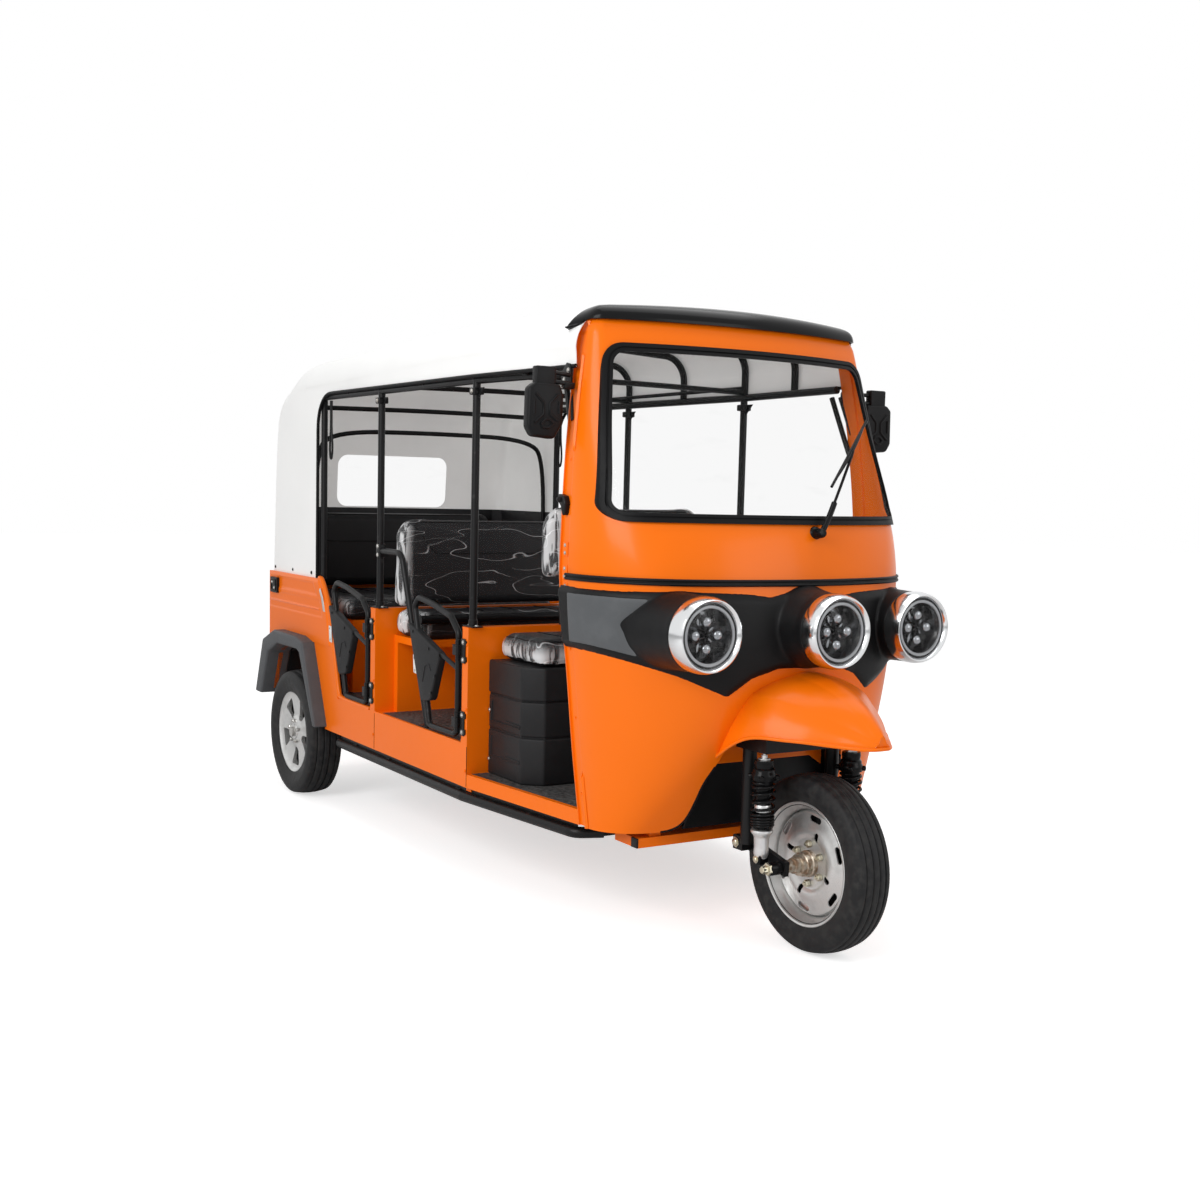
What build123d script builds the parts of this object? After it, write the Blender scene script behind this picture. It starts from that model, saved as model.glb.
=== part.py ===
"""Three-row auto rickshaw: open sides, fabric canopy, one steered front wheel.

Millimetres.  +X points forward, +Y to the vehicle's left, +Z up.  The origin is on the
ground, midway along the vehicle and on its centre plane.
"""

import os
from math import acos, cos, radians, sin, tan

from build123d import *

os.makedirs("parts", exist_ok=True)

# ---------------------------------------------------------------- driving dimensions
# Lengths along the vehicle, each counted from the one before it.
rear_overhang = 440.0      # bumper to rear axle
axle_to_post = 748.0       # rear axle to the rear posts
row_pitch = 757.0          # rear posts to front posts
cab_opening = 595.0        # front posts to the cowl's rear edge
nose_reach = 509.0         # cowl's rear edge to the front axle
front_overhang = 256.0     # front axle to the mudguard's tip

# Body
half_width = 557.0         # centre plane to a side panel's outer face
panel = 18.0               # side panel thickness
sheet = 12.0               # floor and tail sheet thickness
sill_bottom = 306.0
passenger_floor = 445.0
cab_floor = 350.0
pillar_top = 826.0
pillar_depth = 44.0
tail_top = 897.0
tail_gap = 51.0            # bumper's back face to the tail panel
cowl_wall = 12.0
glass_wall = 6.0
fit_gap = 0.3              # clearance of a part that only rests on its neighbour

# Chassis rails
rail_y = 330.0
rail_size = 40.0
rail_low, rail_high = 290.0, 335.0

# Wheels
rear_track = 1074.0
front_tyre_radius = 251.0
front_tyre_width = 119.0
front_rim_radius = 170.0
rear_tyre_radius = 255.0
rear_tyre_width = 140.0
rear_rim_radius = 170.0

# Roof
post_y = 530.0
tube_radius = 12.5
canopy_wall = 5.0
canopy_half_width = 549.0
crown_middle = 1830.0
crown_front = crown_middle - 22.0
crown_rear = crown_middle - 42.0
rail_z = crown_middle - 218.0
hem_z = rail_z - 12.0

# Steering
rake = 15.0                # steering axis from vertical, degrees
fork_half_width = 150.0
head_offset = 126.0        # front axle back to the axis, at the crown's height
crown_z = 600.0
grip_z = 1060.0

# ---------------------------------------------------------------- stations
length = (rear_overhang + axle_to_post + row_pitch + cab_opening + nose_reach
          + front_overhang)
rear_x = rear_overhang - length / 2
post_rear_x = rear_x + axle_to_post
post_front_x = post_rear_x + row_pitch
edge_x = post_front_x + cab_opening
front_x = edge_x + nose_reach
tip_x = front_x + front_overhang
tail_x = rear_x - rear_overhang + tail_gap
inner_y = half_width - panel
SIDES = (("right", -1), ("left", 1))


def steering_x(z):
    """Station of the steering axis at height z."""
    return front_x - head_offset - (z - crown_z) * tan(radians(rake))


steer_origin = (steering_x(crown_z), 0, crown_z)
steer_plane = Plane(origin=steer_origin, x_dir=(0, 1, 0),
                    z_dir=(-sin(radians(rake)), 0, cos(radians(rake))))


def finish(piece, label):
    """Name a piece and write it to its own file."""
    piece.part.label = label
    export_step(piece.part, f"parts/{label}.step")


def tube(points, bend, radius):
    """Round bar along straight runs joined by tangent arcs of radius bend."""
    with BuildPart() as bar:
        with BuildLine() as path:
            if bend:
                FilletPolyline(*points, radius=bend)
            else:
                Polyline(*points)
        with BuildSketch(Plane(origin=path.line @ 0, z_dir=path.line % 0)):
            Circle(radius)
        sweep(path=path.line)
    return bar.part


def block(low, high):
    """Box between two opposite corners."""
    with BuildPart() as box:
        with Locations([((low[0] + high[0]) / 2, (low[1] + high[1]) / 2, (low[2] + high[2]) / 2)]):
            Box(high[0] - low[0], high[1] - low[1], high[2] - low[2])
    return box.part


def slab(plane, outline, thickness):
    """Flat plate: a closed outline on a plane, thickened along the plane's normal."""
    with BuildPart() as plate:
        with BuildSketch(plane):
            with BuildLine():
                Polyline(*outline, close=True)
            make_face()
        extrude(amount=thickness)
    return plate.part


def pad(low, high, radius):
    """Cushion: a box with every edge rounded."""
    with BuildPart() as cushion:
        add(block(low, high))
        fillet(cushion.edges(), radius)
    return cushion.part


# ---------------------------------------------------------------- nose cowl
# Plan sections: height, half width, rear edge, start of the corner, corner radius and
# front, the three stations counted forward from the cowl's rear edge.
COWL = (
    (306.0, 492.0, 30.0, 72.0, 132.0, 245.0),
    (520.0, 505.0, 4.0, 56.0, 275.0, 352.0),
    (740.0, 522.0, -8.0, 48.0, 370.0, 436.0),
    (1000.0, 551.0, -10.0, 62.0, 330.0, 425.0),
    (1170.0, 553.0, -6.0, 60.0, 262.0, 385.0),
    (1450.0, 530.0, -22.0, 24.0, 124.0, 255.0),
    (crown_front - 82.0, 487.0, -45.0, 6.0, 45.0, 125.0),
)
cowl_bottom = COWL[0][0]
cowl_top = COWL[-1][0]


def cowl_section(level, inset):
    """Plan outline at one level: straight sides, two corner arcs and a front arc."""
    z, half, rear, corner, radius, front = level
    half, radius, front = half - inset, radius - inset, front - inset
    reach = front - corner
    bow = (reach**2 + (half - radius)**2 - radius**2) / (2 * (reach - radius))
    turn = acos((half - radius) / (bow - radius))
    x0, x1, x2 = edge_x + rear, edge_x + corner, edge_x + front

    def corner_point(angle, side):
        return (x1 + radius * sin(angle), side * (half - radius * (1 - cos(angle))))

    with BuildSketch(Plane.XY.offset(z)) as outline:
        with BuildLine():
            Line((x0, half), (x0, -half))
            Line((x0, -half), (x1, -half))
            ThreePointArc((x1, -half), corner_point(turn / 2, -1), corner_point(turn, -1))
            ThreePointArc(corner_point(turn, -1), (x2, 0), corner_point(turn, 1))
            ThreePointArc(corner_point(turn, 1), corner_point(turn / 2, 1), (x1, half))
            Line((x1, half), (x0, half))
        make_face()
    return outline.sketch.faces()[0]


def cowl_body(inset):
    """The whole nose as a solid, its skin moved in by inset."""
    sections = [cowl_section(level, inset) for level in COWL]
    with BuildPart() as body:
        loft(sections, ruled=True)
    return body.part


cowl_outer = cowl_body(0)
cowl_inner = cowl_body(cowl_wall)
far = 2 * half_width
front_view = Plane(origin=(edge_x + 70, 0, 0), x_dir=(0, 1, 0), z_dir=(1, 0, 0))

# Windscreen: seen from the front, a trapezium with rounded corners.
screen_low, screen_high = 1198.0, cowl_top - 54.0
screen_low_half, screen_high_half = 521.0, 452.0
screen_corner = 62.0
gasket_lap = 20.0
gasket_proud = 7.0


def screen_prism(grow):
    """Windscreen opening grown all round, as a block running forward."""
    with BuildPart() as prism:
        with BuildSketch(front_view):
            with BuildLine():
                FilletPolyline(
                    (-screen_low_half - grow, screen_low - grow),
                    (screen_low_half + grow, screen_low - grow),
                    (screen_high_half + grow, screen_high + grow),
                    (-screen_high_half - grow, screen_high + grow),
                    radius=screen_corner + grow, close=True)
            make_face()
        extrude(amount=far)
    return prism.part


# Wheel opening in the cowl: as wide as the steered fork sweeps.
arch_half = 250.0
arch_top = 700.0
arch_opening = block((edge_x + 100, -arch_half, 0), (edge_x + far, arch_half, arch_top))

with BuildPart() as nose_cowl:
    add(cowl_outer)
    add(cowl_inner, mode=Mode.SUBTRACT)
    add(block((edge_x - far, -inner_y + 60, 0), (edge_x + 40, inner_y - 60, cowl_top - 60)),
        mode=Mode.SUBTRACT)
    add(screen_prism(0), mode=Mode.SUBTRACT)
    add(arch_opening, mode=Mode.SUBTRACT)
finish(nose_cowl, "nose_cowl")

with BuildPart() as windscreen:
    add(cowl_outer)
    add(cowl_body(glass_wall), mode=Mode.SUBTRACT)
    add(screen_prism(-fit_gap), mode=Mode.INTERSECT)
finish(windscreen, "windscreen")

with BuildPart() as windscreen_gasket:
    add(cowl_body(-gasket_proud))
    add(cowl_outer, mode=Mode.SUBTRACT)
    add(screen_prism(gasket_lap), mode=Mode.INTERSECT)
    add(screen_prism(-gasket_lap * 0.6), mode=Mode.SUBTRACT)
finish(windscreen_gasket, "windscreen_gasket")

# ---------------------------------------------------------------- lamps and their band
band_proud = 10.0
lamp_y = 378.0
lamp_z = 898.0
centre_lamp_z = 905.0
lamp_pod_radius = 106.0
bezel_radius = 100.0
bezel_depth = 55.0
lens_radius = 82.0
lens_recess = 18.0
# Lamp stations: how far the bezel's front face stands ahead of the cowl's rear edge.
LAMPS = ((-lamp_y, lamp_z, 500.0), (0.0, centre_lamp_z, 583.0), (lamp_y, lamp_z, 500.0))
band_upper = [(-far, 1004), (-500, 1004), (-378, 1010), (-200, 1004), (-121, 994), (-60, 1012),
              (60, 1012), (121, 994), (200, 1004), (378, 1010), (500, 1004), (far, 1004)]
band_lower = [(far, 828), (540, 826), (378, 769), (250, 712), (183, 764), (101, 790),
              (-101, 790), (-183, 764), (-250, 712), (-378, 769), (-540, 826), (-far, 828)]

with BuildPart() as headlamp_band:
    add(cowl_body(-band_proud))
    add(slab(front_view, band_upper + band_lower, far), mode=Mode.INTERSECT)
    for y, z, reach in LAMPS:
        with BuildSketch(Plane(origin=(edge_x + 80, y, z), x_dir=(0, 1, 0), z_dir=(1, 0, 0))):
            Circle(lamp_pod_radius)
        extrude(amount=reach - bezel_depth - 80)
    add(cowl_outer, mode=Mode.SUBTRACT)
finish(headlamp_band, "headlamp_band")

with BuildPart() as headlamp_bezels:
    for y, z, reach in LAMPS:
        back = Plane(origin=(edge_x + reach - bezel_depth, y, z), x_dir=(0, 1, 0), z_dir=(1, 0, 0))
        with BuildSketch(back):
            Circle(bezel_radius)
        extrude(amount=bezel_depth)
        with BuildSketch(back):
            Circle(lens_radius)
        extrude(amount=bezel_depth, mode=Mode.SUBTRACT)
    chamfer(headlamp_bezels.edges().filter_by(GeomType.CIRCLE).group_by(Axis.X)[-1]
            .filter_by(lambda edge: edge.radius > lens_radius + 1), 12)
finish(headlamp_bezels, "headlamp_bezels")

with BuildPart() as headlamp_lenses:
    for y, z, reach in LAMPS:
        back = Plane(origin=(edge_x + reach - bezel_depth, y, z), x_dir=(0, 1, 0), z_dir=(1, 0, 0))
        with BuildSketch(back):
            Circle(lens_radius)
        extrude(amount=bezel_depth - lens_recess)
finish(headlamp_lenses, "headlamp_lenses")

# ---------------------------------------------------------------- front mudguard
# Cross sections ahead of the front axle: station, half width, rim, shoulder half width,
# shoulder height and crown height.
MUDGUARD = (
    (-230.0, 236.0, 500.0, 172.0, 698.0, 768.0),
    (-60.0, 226.0, 606.0, 176.0, 726.0, 776.0),
    (70.0, 168.0, 618.0, 120.0, 700.0, 752.0),
    (170.0, 90.0, 613.0, 60.0, 662.0, 706.0),
    (236.0, 42.0, 611.0, 26.0, 636.0, 656.0),
    (256.0, 18.0, 617.0, 12.0, 628.0, 640.0),
)
mudguard_wall = 7.0


def mudguard_body(inset):
    """The mudguard's dome as a solid, its skin moved in by inset."""
    sections = []
    for station, half, rim, shoulder, shoulder_z, crown in MUDGUARD:
        plane = Plane(origin=(front_x + station - min(inset, station + far), 0, 0),
                      x_dir=(0, 1, 0), z_dir=(1, 0, 0))
        low = rim - 3 * inset
        with BuildSketch(plane) as section:
            with BuildLine():
                Line((-half + inset, low), (half - inset, low))
                Line((half - inset, low), (shoulder - inset, shoulder_z))
                ThreePointArc((shoulder - inset, shoulder_z), (0, crown - inset),
                              (-shoulder + inset, shoulder_z))
                Line((-shoulder + inset, shoulder_z), (-half + inset, low))
            make_face()
        sections.append(section.sketch.faces()[0])
    with BuildPart() as body:
        loft(sections, ruled=True)
    return body.part


with BuildPart() as front_mudguard:
    add(mudguard_body(0))
    add(mudguard_body(mudguard_wall), mode=Mode.SUBTRACT)
    add(cowl_outer, mode=Mode.SUBTRACT)
    add(headlamp_band.part, mode=Mode.SUBTRACT)
finish(front_mudguard, "front_mudguard")

# ---------------------------------------------------------------- rub strip, visor, wheelhouse
strip_z = 1030.0
strip_height = 16.0
with BuildPart() as rub_strip:
    add(cowl_body(-band_proud))
    add(block((edge_x + 66, -far, strip_z - strip_height / 2),
              (edge_x + far, far, strip_z + strip_height / 2)), mode=Mode.INTERSECT)
    add(cowl_outer, mode=Mode.SUBTRACT)
finish(rub_strip, "rub_strip")

wheelhouse_x = edge_x + 212.0
wheelhouse_wall = 6.0
with BuildPart() as wheelhouse:
    add(block((wheelhouse_x, -arch_half, cab_floor - 40),
              (wheelhouse_x + wheelhouse_wall, arch_half, arch_top)))
    for _, side in SIDES:
        low_y, high_y = sorted((side * arch_half, side * (arch_half + wheelhouse_wall)))
        add(block((wheelhouse_x, low_y, cab_floor - 40), (front_x, high_y, arch_top)))
    add(cowl_inner, mode=Mode.INTERSECT)
finish(wheelhouse, "wheelhouse")

# ---------------------------------------------------------------- canopy and roof frame
# Roof stations: position, crown height and half width.
ROOF = (
    (tail_x, crown_rear, canopy_half_width),
    (rear_x + 170, crown_rear, canopy_half_width),
    (post_front_x, crown_middle, canopy_half_width),
    (edge_x - 5, crown_front, 516.0),
)
roof_corner = 110.0
roof_drop = 27.0
roof_crown_radius = 2000.0


def roof_outline(crown, half, low, inset):
    """Corner points of a roof section, from one lower edge over the crown to the other."""
    side, eave = half - inset, crown - roof_drop - inset
    return [(-side, low), (-side, eave), (0, crown - inset), (side, eave), (side, low)]


def roof_radii(inset):
    """Bends of a roof section at its two eaves and its crown."""
    return [roof_corner - inset, roof_crown_radius, roof_corner - inset]


def canopy_body(inset):
    """The covered space as a solid, its skin moved in by inset."""
    sections = []
    for x, crown, half in ROOF:
        with BuildSketch(Plane(origin=(x, 0, 0), x_dir=(0, 1, 0), z_dir=(1, 0, 0))) as section:
            with BuildLine():
                outline = roof_outline(crown, half, tail_top, inset)
                FilletPolyline(*outline, radius=roof_radii(inset))
                Line(outline[-1], outline[0])
            make_face()
        sections.append(section.sketch.faces()[0])
    back = [(tail_x + inset, 0), (tail_x + inset, tail_top), (rear_x - 352 + inset, 1500),
            (rear_x - 300 + inset, 1640), (rear_x - 200 + inset, 1715), (rear_x - 40, crown_rear - inset),
            (edge_x + far, crown_rear + far), (edge_x + far, 0)]
    side_profile = slab(Plane(origin=(0, far, 0), x_dir=(1, 0, 0), z_dir=(0, -1, 0)), back, 2 * far)
    with BuildPart() as body:
        loft(sections, ruled=True)
        add(side_profile, mode=Mode.INTERSECT)
    return body.part


opening_rear = rear_x + 160.0
opening_radius = 130.0
window_low, window_high, window_half = 1178.0, 1402.0, 262.0
window_corner = 45.0


def window_prism(grow):
    """Rear window opening, as a block along the vehicle."""
    with BuildPart() as prism:
        with BuildSketch(Plane(origin=(rear_x - far, 0, (window_low + window_high) / 2),
                               x_dir=(0, 1, 0), z_dir=(1, 0, 0))):
            RectangleRounded(2 * (window_half + grow), window_high - window_low + 2 * grow,
                             window_corner)
        extrude(amount=far)
    return prism.part


with BuildPart() as side_opening:
    with BuildSketch(Plane(origin=(0, far, 0), x_dir=(1, 0, 0), z_dir=(0, -1, 0))):
        with BuildLine():
            FilletPolyline((opening_rear, 0), (opening_rear, hem_z), (edge_x + far, hem_z),
                           radius=opening_radius)
            Polyline((edge_x + far, hem_z), (edge_x + far, 0), (opening_rear, 0))
        make_face()
    extrude(amount=2 * far)

with BuildPart() as canopy:
    add(canopy_body(0))
    add(canopy_body(canopy_wall), mode=Mode.SUBTRACT)
    add(side_opening.part, mode=Mode.SUBTRACT)
    add(window_prism(0), mode=Mode.SUBTRACT)
    add(cowl_outer, mode=Mode.SUBTRACT)
finish(canopy, "canopy")

with BuildPart() as rear_window:
    add(canopy_body(0.5))
    add(canopy_body(canopy_wall - 0.5), mode=Mode.SUBTRACT)
    add(window_prism(-fit_gap), mode=Mode.INTERSECT)
finish(rear_window, "rear_window")

visor_wall = 6.0
VISOR = (
    (cowl_top + fit_gap, 512.0, -44.0, -10.0, 45.0, 150.0),
    (cowl_top + 62, 474.0, -44.0, -20.0, 60.0, 128.0),
    (cowl_top + 86, 400.0, -44.0, -30.0, 60.0, 92.0),
)
VISOR_INNER = tuple((z - visor_wall * index / 2,) + tuple(rest)
                    for index, (z, *rest) in enumerate(VISOR))
with BuildPart() as roof_visor:
    loft([cowl_section(level, 0) for level in VISOR], ruled=True)
    loft([cowl_section(level, visor_wall) for level in VISOR_INNER], ruled=True,
         mode=Mode.SUBTRACT)
    add(canopy_body(0), mode=Mode.SUBTRACT)
finish(roof_visor, "roof_visor")

# Bows cross the roof, rails and purlins run along it, posts carry them.
frame_inset = canopy_wall + tube_radius + fit_gap
BOWS = (opening_rear + 20, (opening_rear + post_rear_x) / 2, post_rear_x,
        (post_rear_x + post_front_x) / 2, post_front_x, (post_front_x + edge_x) / 2)
purlin_y = 240.0


def crown_at(x):
    """Crown height of the canopy at a station."""
    for (x0, c0, h0), (x1, c1, h1) in zip(ROOF, ROOF[1:]):
        if x <= x1:
            share = (x - x0) / (x1 - x0)
            return c0 + share * (c1 - c0), h0 + share * (h1 - h0)
    return ROOF[-1][1:]


bows = []
for x in BOWS:
    crown, half = crown_at(x)
    outline = roof_outline(crown, half, rail_z, frame_inset)
    bows.append(tube([(x, y, z) for y, z in outline], roof_radii(frame_inset), tube_radius))
bars = []
rail_end_y = 470.0
for _, side in SIDES:
    bars.append(tube([(BOWS[0], side * post_y, rail_z), (post_front_x, side * post_y, rail_z),
                      (edge_x + 20, side * rail_end_y, rail_z)], 0, tube_radius))
    for x in (post_rear_x, post_front_x):
        bars.append(tube([(x, side * post_y, pillar_top), (x, side * post_y, rail_z)], 0,
                         tube_radius))
    bars.append(tube([(opening_rear + 20, side * post_y, tail_top),
                      (opening_rear + 20, side * post_y, rail_z)], 0, tube_radius))

with BuildPart() as roof_frame:
    for bar in bars:
        add(bar)
    add(cowl_outer, mode=Mode.SUBTRACT)
finish(roof_frame, "roof_frame")

with BuildPart() as roof_bows:
    for bow in bows:
        add(bow)
    add(roof_frame.part, mode=Mode.SUBTRACT)
finish(roof_bows, "roof_bows")

# ---------------------------------------------------------------- body sides
sill_top = passenger_floor
opening_corner = 60.0
arch_inner = ((274, 0), (274, 316), (118, 594), (86, 606), (-150, 606), (-262, 560), (-345, 371),
              (-345, 0))
arch_outer = ((295, 316), (150, 640), (66, 657), (-190, 659), (-325, 610), (-418, 371),
              (-345, 371), (-262, 560), (-150, 606), (86, 606), (118, 594), (274, 316))
flare_depth = 53.0
pillar_half = pillar_depth / 2


def side_profile(points):
    """Points of a side view, counted from the rear axle's station."""
    return [(rear_x + x, z) for x, z in points]


side_outline = [
    (rear_x + 230, sill_bottom), (post_front_x + pillar_half, sill_bottom),
    (post_front_x + pillar_half, pillar_top), (post_front_x - pillar_half, pillar_top),
    (post_front_x - pillar_half, sill_top), (post_rear_x + pillar_half, sill_top),
    (post_rear_x + pillar_half, pillar_top), (post_rear_x - pillar_half, pillar_top),
    (post_rear_x - pillar_half, sill_top), (rear_x + 406, sill_top), (rear_x + 300, 787),
    (rear_x + 208, tail_top), (tail_x, tail_top), (tail_x, 400), (rear_x - 230, 371),
]
side_panels = []
for _, side in SIDES:
    outer_plane = Plane(origin=(0, side * half_width, 0), x_dir=(1, 0, 0), z_dir=(0, -1, 0))
    with BuildPart() as side_panel:
        add(slab(outer_plane, side_outline, side * panel))
        add(slab(outer_plane, side_profile(arch_inner), side * panel), mode=Mode.SUBTRACT)
    side_panels.append(side_panel.part)
with BuildPart() as body_sides:
    for side_panel in side_panels:
        add(side_panel)
finish(body_sides, "body_sides")

flares = [slab(Plane(origin=(0, side * half_width, 0), x_dir=(1, 0, 0), z_dir=(0, -1, 0)),
               side_profile(arch_outer), -side * flare_depth) for _, side in SIDES]
with BuildPart() as arch_flares:
    for flare in flares:
        add(flare)
finish(arch_flares, "arch_flares")

# Tail lamps and bumper brackets are let into the tail panel.
tail_lamp_y, tail_lamp_half = 470.0, 55.0
tail_lamp_low, tail_lamp_high = 690.0, 850.0
tail_lamp_proud = 22.0
bumper_z = 462.0
bumper_reach = 34.0
bracket_y = 330.0
lamp_boxes = [block((tail_x - tail_lamp_proud, side * tail_lamp_y - tail_lamp_half, tail_lamp_low),
                    (tail_x + sheet, side * tail_lamp_y + tail_lamp_half, tail_lamp_high))
              for _, side in SIDES]
bumper_brackets = [block((tail_x - bumper_reach, side * bracket_y - 25, bumper_z - 12),
                         (tail_x + sheet, side * bracket_y + 25, bumper_z + 12))
                   for _, side in SIDES]
with BuildPart() as tail_panel:
    add(block((tail_x, -inner_y, 371), (tail_x + sheet, inner_y, tail_top)))
    for box in lamp_boxes + bumper_brackets:
        add(box, mode=Mode.SUBTRACT)
finish(tail_panel, "tail_panel")

sill_end_x, sill_end_y = edge_x + 30, 492.0
sill_taper = [(post_front_x + pillar_half, half_width), (sill_end_x, sill_end_y),
              (sill_end_x, sill_end_y - panel), (post_front_x + pillar_half, inner_y)]
sills = [slab(Plane.XY.offset(sill_bottom), [(x, side * y) for x, y in sill_taper],
              cab_floor - sill_bottom) for _, side in SIDES]
with BuildPart() as cab_sills:
    for sill in sills:
        add(sill)
    add(cowl_outer, mode=Mode.SUBTRACT)
finish(cab_sills, "cab_sills")

with BuildPart() as bulkheads:
    for post_x in (post_front_x, post_rear_x):
        add(block((post_x - pillar_half, -inner_y, rail_high),
                  (post_x + pillar_half, inner_y, pillar_top)))
finish(bulkheads, "bulkheads")

# ---------------------------------------------------------------- floors and chassis
well_y = 440.0
cab_floor_outline = [(post_front_x + pillar_half, -inner_y), (sill_end_x, -sill_end_y + panel),
                     (edge_x + 130, -430), (wheelhouse_x, -290), (wheelhouse_x, 290),
                     (edge_x + 130, 430), (sill_end_x, sill_end_y - panel),
                     (post_front_x + pillar_half, inner_y)]
frame_front = edge_x + 185.0
head_low, head_high = 660.0, 900.0
head_radius = 34.0
neck_z = 760.0
neck_bars = [tube([(frame_front - 23, side * (rail_y - 20), rail_high),
                   (frame_front - 43, side * 200, neck_z - 60),
                   (steering_x(neck_z), 0, neck_z)], 60, 18) for _, side in SIDES]
grab_radius = 11.0
grab_z = 1035.0
grab_bars = [tube([(post_rear_x, side * post_y, grab_z), (post_rear_x + 190, side * post_y, grab_z),
                   (post_rear_x + 400, side * (post_y - 14), passenger_floor - sheet)],
                  50, grab_radius) for _, side in SIDES]
bench_upright = 30.0
with BuildPart() as floor_pans:
    add(slab(Plane.XY.offset(cab_floor - sheet), cab_floor_outline, sheet))
    add(block((post_rear_x + pillar_half + bench_upright, -inner_y, passenger_floor - sheet),
              (post_front_x - pillar_half, inner_y, passenger_floor)))
    add(block((rear_x + 300, -inner_y, passenger_floor - sheet),
              (post_rear_x - pillar_half, inner_y, passenger_floor)))
    add(block((tail_x + sheet, -well_y, passenger_floor - sheet),
              (rear_x + 300, well_y, passenger_floor)))
    for bar in neck_bars:
        add(bar, mode=Mode.SUBTRACT)
    for bar in grab_bars:
        add(bar, mode=Mode.SUBTRACT)
finish(floor_pans, "floor_pans")

cross_members = (tail_x + 60, rear_x + 400, post_rear_x + 90, post_front_x - 90, edge_x - 40)
with BuildPart() as chassis_frame:
    for _, side in SIDES:
        low_y, high_y = sorted((side * (rail_y - rail_size / 2), side * (rail_y + rail_size / 2)))
        add(block((tail_x + sheet, low_y, rail_low), (frame_front, high_y, rail_high)))
    for x in cross_members:
        add(block((x - 20, -rail_y, rail_low), (x + 20, rail_y, rail_high)))
    add(block((post_rear_x - pillar_half, -inner_y, rail_low),
              (post_rear_x + pillar_half, inner_y, rail_high)))
    add(block((post_front_x - pillar_half, -inner_y, rail_low),
              (post_front_x + pillar_half, inner_y, rail_high)))
finish(chassis_frame, "chassis_frame")

with BuildPart() as steering_neck:
    for bar in neck_bars:
        add(bar)
    with BuildSketch(steer_plane.offset((head_low - crown_z) / cos(radians(rake)))):
        Circle(head_radius)
    extrude(amount=(head_high - head_low) / cos(radians(rake)))
    with BuildSketch(steer_plane):
        Circle(head_radius - 12)
    extrude(amount=far, mode=Mode.SUBTRACT)
    add(chassis_frame.part, mode=Mode.SUBTRACT)
finish(steering_neck, "steering_neck")

with BuildPart() as front_crossmember:
    add(block((edge_x + 75, -395, 262), (edge_x + 195, 395, rail_low)))
finish(front_crossmember, "front_crossmember")

battery_x, battery_length = post_rear_x + 130, 500.0
with BuildPart() as battery_box:
    add(block((battery_x, -rail_y + rail_size / 2, rail_low + 10),
              (battery_x + battery_length, rail_y - rail_size / 2, passenger_floor - sheet)))
finish(battery_box, "battery_box")

# ---------------------------------------------------------------- step rails
step_radius = 17.0
step_z = 270.0
step_y = 546.0
step_bars = []
for _, side in SIDES:
    route = [(rear_x + 330, side * 460, step_z), (rear_x + 400, side * step_y, step_z),
             (post_front_x - 20, side * step_y, step_z), (edge_x - 20, side * 474, step_z),
             (edge_x + 10, side * 395, step_z)]
    step_bars.append(tube(route, 40, step_radius))
    for x in (rear_x + 560, post_rear_x + 120, post_front_x - 60):
        low_y, high_y = sorted((side * (rail_y - 10), side * step_y))
        step_bars.append(block((x - 15, low_y, step_z - 6), (x + 15, high_y, rail_low)))
    step_bars.append(block((edge_x - 6, min(side * 300, side * 400), step_z - 8),
                           (edge_x + 26, max(side * 300, side * 400), rail_low)))
with BuildPart() as step_rails:
    for bar in step_bars:
        add(bar)
finish(step_rails, "step_rails")

# ---------------------------------------------------------------- seats
seat_front_x = post_front_x + 296.0
seat_half = 480.0
seat_chamfer = 55.0
seat_box_top = 722.0
bulkhead_face_x = post_front_x + pillar_half
with BuildPart() as seat_box:
    add(slab(Plane.XY.offset(cab_floor),
             [(bulkhead_face_x, -seat_half), (seat_front_x - seat_chamfer, -seat_half),
              (seat_front_x, -seat_half + seat_chamfer), (seat_front_x, seat_half - seat_chamfer),
              (seat_front_x - seat_chamfer, seat_half), (bulkhead_face_x, seat_half)],
             seat_box_top - cab_floor))
finish(seat_box, "seat_box")

cushion_depth = 88.0
with BuildPart() as driver_cushion:
    add(pad((bulkhead_face_x + fit_gap, -seat_half + 15, seat_box_top + fit_gap),
            (seat_front_x + 20, seat_half - 15, seat_box_top + cushion_depth), 30))
finish(driver_cushion, "driver_cushion")

driver_back_low, driver_back_high = 985.0, 1228.0
driver_back_half = 320.0
driver_back_x = post_front_x + 24.0
with BuildPart() as driver_backrest:
    add(pad((driver_back_x, -driver_back_half, driver_back_low),
            (driver_back_x + 65, driver_back_half, driver_back_high), 24))
finish(driver_backrest, "driver_backrest")

with BuildPart() as backrest_stays:
    for _, side in SIDES:
        add(block((driver_back_x - 14, side * 200 - 16, pillar_top),
                  (driver_back_x - fit_gap, side * 200 + 16, driver_back_high - 40)))
finish(backrest_stays, "backrest_stays")

bench_x = post_rear_x + pillar_half
bench_reach = 246.0
bench_half = 500.0
bench_low, bench_high = 728.0, 825.0
rear_bench_front = rear_x + 300.0
rear_bench_top = 735.0
rear_cushion_top = 819.0
bench_ledge = 26.0
with BuildPart() as bench_frames:
    add(block((bench_x, -inner_y, passenger_floor - sheet),
              (bench_x + bench_upright, inner_y, passenger_floor)))
    add(block((bench_x, -bench_half + 20, passenger_floor),
              (bench_x + bench_upright, bench_half - 20, bench_low)))
    add(block((bench_x, -bench_half + 20, bench_low - bench_ledge),
              (bench_x + bench_reach - 20, bench_half - 20, bench_low)))
    add(block((tail_x + sheet, -well_y, passenger_floor),
              (rear_bench_front - 30, well_y, rear_bench_top)))
finish(bench_frames, "bench_frames")

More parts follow.
